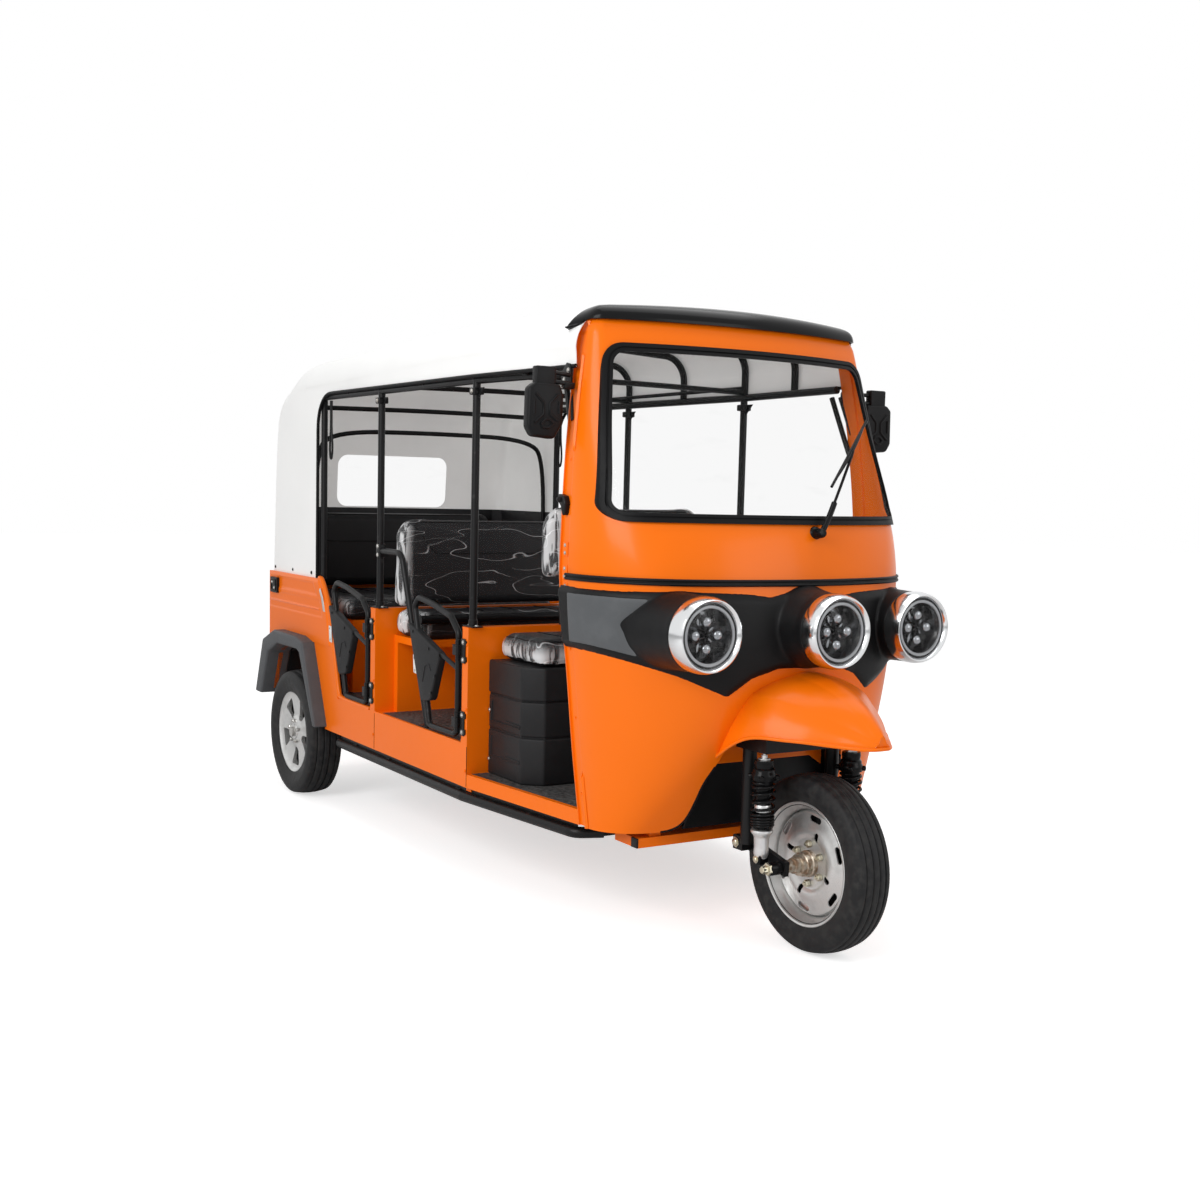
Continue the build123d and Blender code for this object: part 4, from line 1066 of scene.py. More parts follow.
# Station ahead of the axle, half width, rim height, shoulder half width and height, crown.
MUDGUARD = (
    (-0.230, 0.236, 0.500, 0.172, 0.698, 0.768), (-0.060, 0.226, 0.606, 0.176, 0.726, 0.776),
    (0.070, 0.168, 0.618, 0.120, 0.700, 0.752), (0.170, 0.090, 0.613, 0.060, 0.662, 0.706),
    (0.228, 0.045, 0.611, 0.029, 0.638, 0.660), (0.246, 0.020, 0.612, 0.012, 0.628, 0.642))
# Share of the way across where the mudguard's crown ends.
SHOULDER_SHARE = 0.64


def mudguard_point(u, v):
    """Place on the mudguard: u across from -1 to 1, v from its rear edge to its tip."""
    station = -0.230 + 0.476 * (1 - (1 - v) ** 1.2)
    half, rim, shoulder, shoulder_z, crown = fair(MUDGUARD, station)
    share = abs(u)
    if share < SHOULDER_SHARE:
        part = share / SHOULDER_SHARE
        y = shoulder * part
        z = crown - (crown - shoulder_z) * part ** 2.2
        ridge = 0.055 - 0.035 * max(0.0, (station + 0.05) / 0.296)
        z += 0.006 * max(0.0, 1 - y / ridge) ** 0.6 * min(1.0, (station + 0.23) / 0.1)
    else:
        part = (share - SHOULDER_SHARE) / (1 - SHOULDER_SHARE)
        y = shoulder + (half - shoulder) * part
        z = shoulder_z + (rim - shoulder_z) * part
        y += 0.008 * sin(pi * part)
    tucked = 0.085 * max(0.0, 1 - v * 14) * max(0.0, 1 - share ** 4)
    return Vector((AXLE_FRONT + station - tucked, y if u > 0 else -y, z))


def visor_point(u, v):
    """Place on the visor: u around the nose, v from its lip back to the canopy."""
    share = abs(u)
    droop = 0.034 * max(0.0, (share - 0.80) / 0.20) ** 1.4
    lip = cowl_point(u, 1.7555, 0.010) + Vector((0.006 - 0.030 * share ** 6, 0, -droop))
    lip.y *= 1 + 0.035 * share ** 6
    y = 0.524 * sin(pi / 2 * min(1, share * 1.02))
    arch = 0.024 * (y / 0.516) ** 2 + 0.055 * max(0.0, (y - 0.42) / 0.104) ** 2
    back = Vector((EDGE - 0.050, y if u > 0 else -y, 1.8165 - arch - droop * 0.2))
    rise = 1 - (1 - v) ** 3
    reach = v ** 1.7
    return Vector((lip.x + (back.x - lip.x) * reach, lip.y + (back.y - lip.y) * reach,
                   lip.z + (back.z - lip.z) * rise))


class RICKSHAW_OT_guards(bpy.types.Operator):
    """Form the front mudguard and the roof visor"""
    bl_idname = "rickshaw.guards"
    bl_label = "Mudguard and visor"

    def execute(self, context):
        guard = surface("mudguard", 96, 90, mudguard_point)
        thicken(recalculate(guard, FINE), 0.005, 2)
        steps = 40
        edge = [mudguard_point(-1, step / steps) for step in range(steps + 1)]
        edge += [mudguard_point(1, 1 - step / steps) for step in range(steps + 1)]
        lip = bar("mudguard_lip", edge, 0.0050)
        front = surface("mudguard_front", 30, 10, lambda u, v: mudguard_point(u, 1).lerp(
            Vector((AXLE_FRONT + 0.2415, mudguard_point(u, 1).y * 0.9, 0.613)), v))
        recalculate(front, FINE)
        whole = join("mudguard", [smooth(guard, 28), lip, smooth(front, 50)])
        settle(whole, "paint", stands_for="front_mudguard")
        visor = surface("visor", 160, 14, visor_point)
        thicken(recalculate(visor, FINE), 0.007, 2)
        apply_modifier(visor, "BEVEL", width=0.002, segments=2, limit_method="ANGLE")
        settle(smooth(visor, 50), "gloss", stands_for="roof_visor")
        return {"FINISHED"}


# ---------------------------------------------------------------- canopy
# Stations of the tail panel, the rear axle and the door posts; the posts' distance out.
TAIL, REAR = -1.6015, -1.2125
REAR_POST, FRONT_POST = -0.4645, 0.2925
POST = 0.530
# The canopy's rear side opening and the height of its hem beside the doors.
OPENING = REAR + 0.160
HEM = 1.622
ROOF_BOWS = (-1.0325, -0.7485, REAR_POST, -0.086, FRONT_POST, 0.590)
# Half width of the roof by station, its ridge line, and its lower edge seen from the side.
ROOF_SIDE = ((TAIL, 0.549), (FRONT_POST, 0.549), (EDGE - 0.005, 0.516))
RIDGE = rounded(((TAIL, 0, 0.897), (REAR - 0.352, 0, 1.500), (REAR - 0.300, 0, 1.640),
                 (REAR - 0.200, 0, 1.715), (REAR - 0.040, 0, 1.788), (REAR + 0.170, 0, 1.788),
                 (FRONT_POST, 0, 1.832), (EDGE - 0.005, 0, 1.808)), 2)
SIDE_EDGE = ([Vector((OPENING, 0, 0.897)), Vector((OPENING, 0, HEM - 0.130))]
             + [Vector((OPENING + 0.130 * (1 - cos(pi / 2 * step / 10)), 0,
                        HEM - 0.130 * (1 - sin(pi / 2 * step / 10)))) for step in range(1, 11)]
             + [Vector((EDGE - 0.005, 0, HEM))])
# Shares of the way from the ridge to the hem where the roof ends and the side starts.
TOP_SHARE, EAVE_SHARE = 0.46, 0.66
CURTAIN_TOP = 1.172


def canopy_point(u, v):
    """Place on the canopy: u around it from -1 to 1, v from the tail over the roof."""
    here = along(RIDGE, v)
    ahead = (along(RIDGE, min(1, v + 0.004)) - along(RIDGE, max(0, v - 0.004))).normalized()
    out = Vector((-ahead.z, 0, ahead.x))
    level = max(0.0, out.z) ** 2
    radius, drop = 0.035 + 0.075 * level, 0.004 + 0.0175 * level
    half = between(ROOF_SIDE, here.x)
    share = abs(u)
    side = 1 if u > 0 else -1
    gap = [abs(here.x - bow) for bow in ROOF_BOWS]
    slack = sin(min(1.0, min(gap) / 0.14) * pi / 2) ** 2 * level
    if share < TOP_SHARE:
        part = share / TOP_SHARE
        place = here - out * (drop * part ** 2 + 0.004 * slack * (1 - part ** 4))
        place.y = side * (half - radius) * part
    elif share < EAVE_SHARE:
        turn = (share - TOP_SHARE) / (EAVE_SHARE - TOP_SHARE) * pi / 2
        place = here - out * (drop + radius * (1 - cos(turn)))
        place.y = side * (half - radius + radius * sin(turn))
    else:
        part = (share - EAVE_SHARE) / (1 - EAVE_SHARE)
        eave = here - out * (drop + radius)
        edge = along(SIDE_EDGE, between(((0, 0), (0.31, 0.29), (1, 1)), v))
        place = eave.lerp(edge, part)
        flat = between(ROOF_SIDE, place.x)
        ripple = sin(place.x * 9 + place.z * 5) * sin(place.z * 13 - place.x * 4)
        place.y = side * (flat - 0.0022 * (1 - ripple) * sin(pi * part) ** 0.5)
    return place


class RICKSHAW_OT_canopy(bpy.types.Operator):
    """Form the canopy with its binding, snaps, hoops, upper rails and rear curtain"""
    bl_idname = "rickshaw.canopy"
    bl_label = "Canopy"

    def execute(self, context):
        cloth = surface("canopy_cloth", 150, 260, canopy_point)
        recalculate(cloth, FINE)
        cloth.data.materials.append(FINISHES["canvas"])
        cloth.data.materials.append(FINISHES["lining"])
        thicken(cloth, 0.0024, 2, material_offset=1)
        window = brick("window", (TAIL - 0.1, -0.262, 1.178), (REAR - 0.2, 0.262, 1.402), 0)
        apply_modifier(window, "BEVEL", width=0.045, segments=8)
        cut(cloth, window)
        smooth(cloth, 40)
        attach(cloth, "chassis")
        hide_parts("canopy")
        bindings = [bar("binding", [
            canopy_point(side, step / 90) + Vector((0, side * 0.001, 0.001))
            for step in range(91)], 0.0062) for side in (-1, 1)]
        binding = settle(join("canopy_binding", bindings), "rubber")
        snaps = []
        for side in (-1, 1):
            for x in [TAIL + 0.05 + 0.215 * i for i in range(3)]:
                y = side * (between(ROOF_SIDE, x) - 0.0025)
                snaps.append(turned("snap", (
                    (0.0, 0.0055), (0.004, 0.005), (0.0065, 0.0035), (0.0075, 0.0015),
                    (0.0075, -0.001)), (x, y, 0.915), (0, side, 0), 16))
        settle(smooth(join("canopy_snaps", snaps)), "frame")
        girth = reach_of([canopy_point(step / 200 - 1, 0) for step in range(401)])
        run = reach_of([canopy_point(0, step / 400) for step in range(401)])
        hoops = []
        for x, z, corner in ((OPENING + 0.020, 1.486, 0.07), (OPENING + 0.020, 1.572, 0.0),
                             (REAR_POST, 1.630, 0.0), (FRONT_POST, 1.630, 0.0)):
            low = 0.905 if corner else z
            x -= 0.107 if corner else 0
            line = [(x, -0.528, low), (x, -0.528, z - 1.4 * corner), (x, -0.528 + corner, z),
                    (x, 0, z + 0.008), (x, 0.528 - corner, z), (x, 0.528, z - 1.4 * corner),
                    (x, 0.528, low)]
            if not corner:
                line = line[1:-1]
            hoops.append(bar("hoop", rounded(line, 3), 0.0095, False))
        hoops += [bar("upper_rail", [(OPENING + 0.020, y, 1.640), (FRONT_POST, y, 1.646)], 0.007,
                      False) for y in (-0.524, 0.524)]
        settle(smooth(join("roof_hoops", hoops), 50), "frame")
        curtains = [prism("curtain", oblong(-0.505, 0.830, 0.505, CURTAIN_TOP), TAIL + 0.0225,
                          TAIL + 0.0270, "X", 0.001)]
        for side in (-1, 1):
            curtains.append(prism(
                "curtain", oblong(TAIL + 0.060, 0.900, OPENING - 0.006, CURTAIN_TOP),
                *both(side, 0.5325, 0.5375), "Y", 0.001))
            curtains.append(prism("curtain", [
                (TAIL + 0.0225, side * 0.500), (TAIL + 0.0270, side * 0.500),
                (TAIL + 0.0640, side * 0.5325), (TAIL + 0.0600, side * 0.5375)],
                0.900, CURTAIN_TOP, "Z", 0))
        settle(join("rear_curtain", curtains), "vinyl")
        return {"FINISHED"}


# ---------------------------------------------------------------- seats
def rounded_box(name, low, high, edge, corner):
    """A block with rounded edges and, seen from the front, rounded upper corners."""
    if not corner:
        return brick(name, low, high, edge, 5)
    outline = [(low.y, low.z), (high.y, low.z)]
    for side, start in ((1, 0), (-1, pi / 2)):
        middle = high.y - corner if side > 0 else low.y + corner
        outline += [(middle + corner * cos(start + pi / 2 * step / 6),
                     high.z - corner + corner * sin(start + pi / 2 * step / 6))
                    for step in range(7)]
    return prism(name, outline, low.x, high.x, "X", edge, 4)


def crowned(name, low, high, edge, cap, corner, cell=0.007):
    """A stuffed block between two corners, swollen by cloth simulation."""
    low, high = Vector(low), Vector(high)
    shrink = Vector((0.5 * cap,) * 3)
    piece = rounded_box(name, low + shrink, high - shrink, edge, corner)
    apply_modifier(piece, "REMESH", mode="VOXEL", voxel_size=cell)
    start = [vertex.co.copy() for vertex in piece.data.vertices]
    take(piece)
    bpy.ops.object.modifier_add(type="CLOTH")
    cloth = piece.modifiers[-1]
    cloth.settings.use_pressure = True
    cloth.settings.uniform_pressure_force = 4
    cloth.settings.effector_weights.gravity = 0
    scene = bpy.context.scene
    for number in range(1, 21):
        scene.frame_set(number)
    bpy.ops.object.modifier_apply(modifier=cloth.name)
    scene.frame_set(1)
    for vertex, place in zip(piece.data.vertices, start):
        move = vertex.co - place
        if move.length > cap:
            move *= cap / move.length
        vertex.co = place + move
    for vertex in piece.data.vertices:
        for axis in range(3):
            vertex.co[axis] = min(max(vertex.co[axis], low[axis]), high[axis])
    return piece


def laid(name, piece, points, out, radius):
    """A cord of piping laid on a piece along a run of points, seen from one direction."""
    out = Vector(out)
    run = []
    for here, there in zip(points, points[1:]):
        here, there = Vector(here), Vector(there)
        count = max(2, int((there - here).length / 0.02))
        run += [here.lerp(there, step / count) for step in range(count)]
    run.append(Vector(points[-1]))
    places = []
    for point in run:
        hit, place, _, _ = piece.ray_cast(point + out * 0.3, -out)
        if hit:
            places.append(place + out * radius * 0.3)
    return bar(name, places, radius, True, 3)


# Node, edge radius, swell, upper corner radius, film and the film's gather.
SEATS = (("driver_cushion", 0.030, 0.012, 0.0, "box_film"),
         ("driver_backrest", 0.024, 0.010, 0.080, "back_film"),
         ("middle_cushion", 0.034, 0.012, 0.0, "bench_film"),
         ("middle_backrest", 0.024, 0.010, 0.075, "bench_film"),
         ("rear_cushion", 0.032, 0.012, 0.0, "bench_film"),
         ("rear_backrest", 0.024, 0.010, 0.060, ""))


class RICKSHAW_OT_seats(bpy.types.Operator):
    """Form the cushions and backrests with their piping and wrapping"""
    bl_idname = "rickshaw.seats"
    bl_label = "Seats"

    def execute(self, context):
        for node, edge, cap, corner, film in SEATS:
            low, high = (Vector(corner_point) for corner_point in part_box(node))
            piece = crowned(node + "_cover", low, high, edge, cap, corner)
            apply_modifier(piece, "SMOOTH", factor=0.5, iterations=4)
            apply_modifier(piece, "SUBSURF", levels=1, render_levels=1)
            context.view_layer.update()
            piping = self.piping(piece, node, low, high)
            settle(smooth(piece, 60), "vinyl", stands_for=node)
            settle(piping, "rubber")
            if film:
                self.wrap(piece, node, film)
        return {"FINISHED"}

    def piping(self, piece, node, low, high):
        """Piping round a pad's face and in lines across it"""
        inset = 0.030
        if node.endswith("backrest"):
            front = high.x
            line = low.z + 0.60 * (high.z - low.z)
            near, far = low.y + inset, high.y - inset
            runs = [[(front, y, z) for y, z in (
                        (low.y + 0.055, high.z - 0.020), (low.y + 0.15, line),
                        (high.y - 0.15, line), (high.y - 0.055, high.z - 0.020))],
                    [(front, y, z) for y, z in (
                        (near, low.z + 0.03), (near, high.z - 0.07), (near + 0.05, high.z - 0.022),
                        (far - 0.05, high.z - 0.022), (far, high.z - 0.07), (far, low.z + 0.03))]]
            out = (1, 0, 0)
        else:
            top = high.z
            runs = [[(low.x + inset, low.y + inset, top), (high.x - inset, low.y + inset, top),
                     (high.x - inset, high.y - inset, top), (low.x + inset, high.y - inset, top)]]
            count = 7
            for step in range(1, count):
                y = low.y + (high.y - low.y) * step / count
                runs.append([(low.x + inset, y, top), (high.x - inset, y, top)])
            out = (0, 0, 1)
        return join(node + "_piping", [laid("piping", piece, run, out, 0.0021) for run in runs])

    def wrap(self, piece, node, film):
        """Clear film gathered over a pad"""
        take(piece)
        bpy.ops.object.duplicate()
        cover = bpy.context.active_object
        cover.name = node + "_film"
        for key in list(cover.keys()):
            del cover[key]
        cover.parent = None
        cover.data.materials.clear()
        apply_modifier(cover, "DECIMATE", ratio=0.5)
        hidden = Vector((-1, 0, 0)) if node.endswith("backrest") else Vector((0, 0, -1))
        for face in cover.data.polygons:
            face.select = face.normal.dot(hidden) > 0.6
        bpy.ops.object.mode_set(mode="EDIT")
        bpy.ops.mesh.select_mode(type="FACE")
        bpy.ops.mesh.delete(type="FACE")
        bpy.ops.object.mode_set(mode="OBJECT")
        low, high = (Vector(corner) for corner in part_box(node))
        moves = []
        for vertex in cover.data.vertices:
            place = vertex.co
            near = min(1.0, max(0.0, (abs(place.y) - high.y + 0.07) / 0.05))
            if film == "box_film":
                near = 1.0
            slack = noise.noise(Vector((place.x * 7, place.y * 4, place.z * 5)))
            pleat = noise.noise(Vector((place.x * 34, place.y * 34, place.z * 7)))
            moves.append(vertex.normal * (0.0030 + 0.0012 * slack + 0.0034 * near * pleat))
        for vertex, move in zip(cover.data.vertices, moves):
            vertex.co += move
        settle(smooth(cover, 70), film)
        size = high - low
        short, depth = (size.z, size.x) if node.endswith("backrest") else (size.x, size.z)
        flat = (size.y + 2 * depth, short + 2 * depth)
        flat[0] * flat[1] - 4 * depth ** 2


# ---------------------------------------------------------------- wheels
def tyre(name, centre, radius, half, bead, grooves, columns=96, steps=300):
    """A tyre about an axle along Y, with grooves round its tread."""
    section = (
        (0.00, -(half - 0.014), bead - 0.006), (0.06, -(half - 0.010), bead + 0.004),
        (0.20, -half, (bead + radius) / 2), (0.29, -(half - 0.005), radius - 0.016),
        (0.32, -(half - 0.012), radius - 0.007), (0.50, 0.0, radius), (0.68, half - 0.012,
        radius - 0.007), (0.71, half - 0.005, radius - 0.016), (0.80, half, (bead + radius) / 2),
        (0.94, half - 0.010, bead + 0.004), (1.00, half - 0.014, bead - 0.006))

    def place(u, v):
        across, reach = fair(section, v)
        for middle, wide, deep in grooves:
            near = abs(abs(across) - middle) / (wide / 2)
            if 0.3 < v < 0.7 and near < 1:
                reach -= deep * min(1.0, 3 * (1 - near))
        turn = pi * u
        return Vector((centre[0] + reach * sin(turn), centre[1] + across,
                       centre[2] + reach * cos(turn)))

    return recalculate(surface(name, steps, columns, place), FINE)


def capsule_slot(centre, reach, half_wide, half_high):
    """A rounded slot through a wheel's disc, straight above its axle."""
    x, y, z = centre
    far = 0.08
    slot = brick("slot", (x - half_wide, y - far, z + reach - half_high),
                 (x + half_wide, y + far, z + reach + half_high), 0)
    with editing(slot, "DESELECT"):
        pass
    for edge in slot.data.edges:
        low, high = (slot.data.vertices[i].co for i in edge.vertices)
        edge.select = abs(low.y - high.y) > far
    bpy.ops.object.mode_set(mode="EDIT")
    bpy.ops.mesh.select_mode(type="EDGE")
    bpy.ops.mesh.bevel(offset=min(half_wide, half_high) * 0.96, segments=6)
    bpy.ops.object.mode_set(mode="OBJECT")
    return slot


def nuts(name, centre, face, count, reach, size, outward=-1):
    """A ring of hexagon nuts with studs on a wheel's face."""
    made = []
    for step in range(count):
        nut = turned("nut", [(wide * size, high * size) for wide, high in (
            (0.0, 1.8), (0.45, 1.75), (0.5, 1.3), (0.8, 1.25), (1, 1), (1, 0.0), (0.0, 0.0))],
                     (centre[0], face, centre[2] + reach), (0, outward, 0), 6)
        made.append(spun(nut, (centre[0], face, centre[2]), 2 * pi * step / count))
    return join(name, made)


# Profile of a rear wheel: radius, and distance inwards from the tyre's middle.
REAR_RIM = (
    (0.0, -0.050), (0.030, -0.050), (0.032, -0.046), (0.046, -0.046), (0.060, -0.040),
    (0.080, -0.036), (0.120, -0.039), (0.150, -0.043), (0.158, -0.0465), (0.163, -0.052),
    (0.168, -0.056), (0.174, -0.0575), (0.176, -0.054), (0.172, -0.049), (0.164, -0.045),
    (0.160, -0.040), (0.157, -0.030), (0.158, 0.040), (0.168, 0.050), (0.176, 0.054),
    (0.174, 0.0575), (0.168, 0.056), (0.150, 0.040), (0.141, -0.020), (0.120, -0.026),
    (0.060, -0.022), (0.0, -0.030))


class RICKSHAW_OT_wheels(bpy.types.Operator):
    """Form the tyres and the rims"""
    bl_idname = "rickshaw.wheels"
    bl_label = "Wheels"

    def execute(self, context):
        self.front()
        for name, side in (("right", -1), ("left", 1)):
            self.rear(name, side)
        return {"FINISHED"}

    def front(self):
        """The front wheel"""
        centre = (AXLE_FRONT, 0.0, FRONT_RADIUS)
        rubber = tyre("front_tyre_skin", centre, FRONT_RADIUS, 0.0595, 0.170,
                      ((0.011, 0.006, 0.006), (0.033, 0.006, 0.006)))
        settle(smooth(rubber, 40), "tyre", "front_wheel", stands_for="front_tyre")
        barrel = turned("barrel", (
            (0.168, -0.050), (0.1735, -0.0515), (0.1760, -0.0485), (0.1745, -0.0445),
            (0.168, -0.0435), (0.1655, -0.034), (0.156, -0.026), (0.1535, -0.012),
            (0.1535, 0.020), (0.160, 0.034), (0.168, 0.0435), (0.1745, 0.0445),
            (0.1760, 0.0485), (0.1735, 0.0515), (0.166, 0.050), (0.158, 0.036), (0.1505, 0.022),
            (0.1505, -0.016), (0.154, -0.030), (0.163, -0.040), (0.168, -0.050)),
            centre, (0, 1, 0), 96)
        disc = turned("disc", (
            (0.1515, -0.006), (0.1500, -0.010), (0.1440, -0.0225), (0.1390, -0.0250),
            (0.1180, -0.0255), (0.1050, -0.0300), (0.0920, -0.0325), (0.0800, -0.0310),
            (0.0740, -0.0270), (0.0680, -0.0260), (0.0360, -0.0260), (0.0360, -0.0225),
            (0.0680, -0.0225), (0.0740, -0.0235), (0.0800, -0.0275), (0.0920, -0.0290),
            (0.1050, -0.0265), (0.1180, -0.0220), (0.1390, -0.0215), (0.1425, -0.0190),
            (0.1470, -0.0060), (0.1515, -0.0060)), centre, (0, 1, 0), 96)
        for count, start, reach, wide, high in ((6, -8, 0.1285, 0.024, 0.0092),
                                                (4, -21, 0.084, 0.0075, 0.014)):
            for step in range(count):
                slot = capsule_slot(centre, reach, wide, high)
                cut(disc, spun(slot, centre, radians(start) + 2 * pi * step / count))
        hub = turned("front_hub", (
            (0.0, -0.112), (0.016, -0.112), (0.018, -0.108), (0.018, -0.090), (0.022, -0.088),
            (0.0235, -0.081), (0.0235, -0.070), (0.030, -0.069), (0.031, -0.066), (0.031, -0.058),
            (0.0335, -0.056), (0.0335, -0.040), (0.0375, -0.038), (0.0375, -0.022), (0.0, -0.020),
            (0.0, 0.080), (0.016, 0.080), (0.028, 0.050), (0.036, 0.030), (0.036, -0.020)),
            centre, (0, 1, 0), 48)
        barrel = join("front_rim_skin", [barrel, disc])
        lugs = nuts("front_lugs", centre, -0.027, 6, 0.056, 0.0105)
        drum = turned("brake_drum", ((0.0, 0.002), (0.136, 0.002), (0.139, 0.006), (0.139, 0.030),
                                     (0.134, 0.034), (0.0, 0.036)), centre, (0, 1, 0), 64)
        settle(smooth(drum, 30), "tyre", "front_wheel")
        settle(smooth(barrel, 32), "silver", "front_wheel", stands_for="front_rim")
        settle(smooth(hub, 30), "hub", "front_wheel")
        settle(smooth(lugs, 30), "zinc", "front_wheel")

    def rear(self, name, side):
        """One rear wheel"""
        centre = (REAR, side * 0.537, REAR_RADIUS)
        body = "rear_wheel_" + name
        rubber = tyre(f"rear_{name}_tyre_skin", centre, REAR_RADIUS, 0.070, 0.170,
                      ((0.013, 0.007, 0.007), (0.040, 0.006, 0.006)))
        settle(smooth(rubber, 40), "tyre", body, stands_for="rear_tyre_" + name)
        wheel = turned(f"rear_{name}_rim_skin", [(radius, -side * depth)
                                                 for radius, depth in REAR_RIM],
                       centre, (0, 1, 0), 96)
        for step in range(5):
            x, y, z = centre
            window = brick("window", (x - 0.041, y - 0.08, z + 0.064),
                           (x + 0.041, y + 0.08, z + 0.1375), 0)
            take(window)
            for vertex in window.data.vertices:
                if vertex.co.z < z + 0.1:
                    vertex.co.x = x + (vertex.co.x - x) * 0.30
            apply_modifier(window, "BEVEL", width=0.012, segments=4)
            cut(wheel, spun(window, centre, 2 * pi * step / 5 + pi / 5))
        drum = turned(f"rear_{name}_drum", ((0.0, side * 0.006), (0.146, side * 0.006),
                                            (0.146, side * -0.012), (0.0, side * -0.012)),
                      centre, (0, 1, 0), 64)
        recalculate(drum)
        settle(smooth(drum, 30), "tyre", body)
        settle(smooth(wheel, 32), "silver", body, stands_for="rear_rim_" + name)
        studs = nuts(f"rear_{name}_lugs", centre, centre[1] + side * 0.046, 5, 0.045, 0.008,
                     side)
        settle(smooth(studs, 30), "steel", body)


# ---------------------------------------------------------------- cab fittings
def eased(a, b, corner):
    """A point of a square from -1 to 1, with the square's corners rounded off."""
    inner = 1 - corner
    over_a, over_b = max(0.0, abs(a) - inner), max(0.0, abs(b) - inner)
    if over_a and over_b:
        reach = (over_a ** 2 + over_b ** 2) ** 0.5
        ease = max(over_a, over_b) / reach
        a = (inner + over_a * ease) * (1 if a > 0 else -1)
        b = (inner + over_b * ease) * (1 if b > 0 else -1)
    return a, b


# A mirror's housing and its ridges, outwards and up from its middle, and that middle.
MIRROR = ((-0.056, -0.062), (-0.040, -0.088), (0.030, -0.094), (0.056, -0.050), (0.058, 0.030),
          (0.046, 0.060), (-0.034, 0.062), (-0.054, 0.046))
MIRROR_RIDGES = (((-0.034, 0.030), (-0.008, 0.004), (-0.008, -0.026), (-0.036, -0.050)),
                 ((0.036, 0.030), (0.012, 0.004), (0.012, -0.026), (0.038, -0.044)),
                 ((-0.038, 0.012), (-0.038, -0.028)), ((0.042, 0.012), (0.042, -0.024)),
                 ((-0.016, -0.052), (-0.004, -0.040), (0.012, -0.040), (0.022, -0.052),
                  (0.006, -0.064), (-0.010, -0.062), (-0.016, -0.052)))
MIRROR_AT = Vector((EDGE - 0.010, 0.618, 1.508))
# The latch on the jamb: ahead of the nose's rear edge, and up.
JAMB_LATCH = ((-0.004, 1.262), (0.024, 1.256), (0.034, 1.236), (0.030, 1.206), (0.020, 1.200),
              (0.010, 1.226), (-0.004, 1.238))


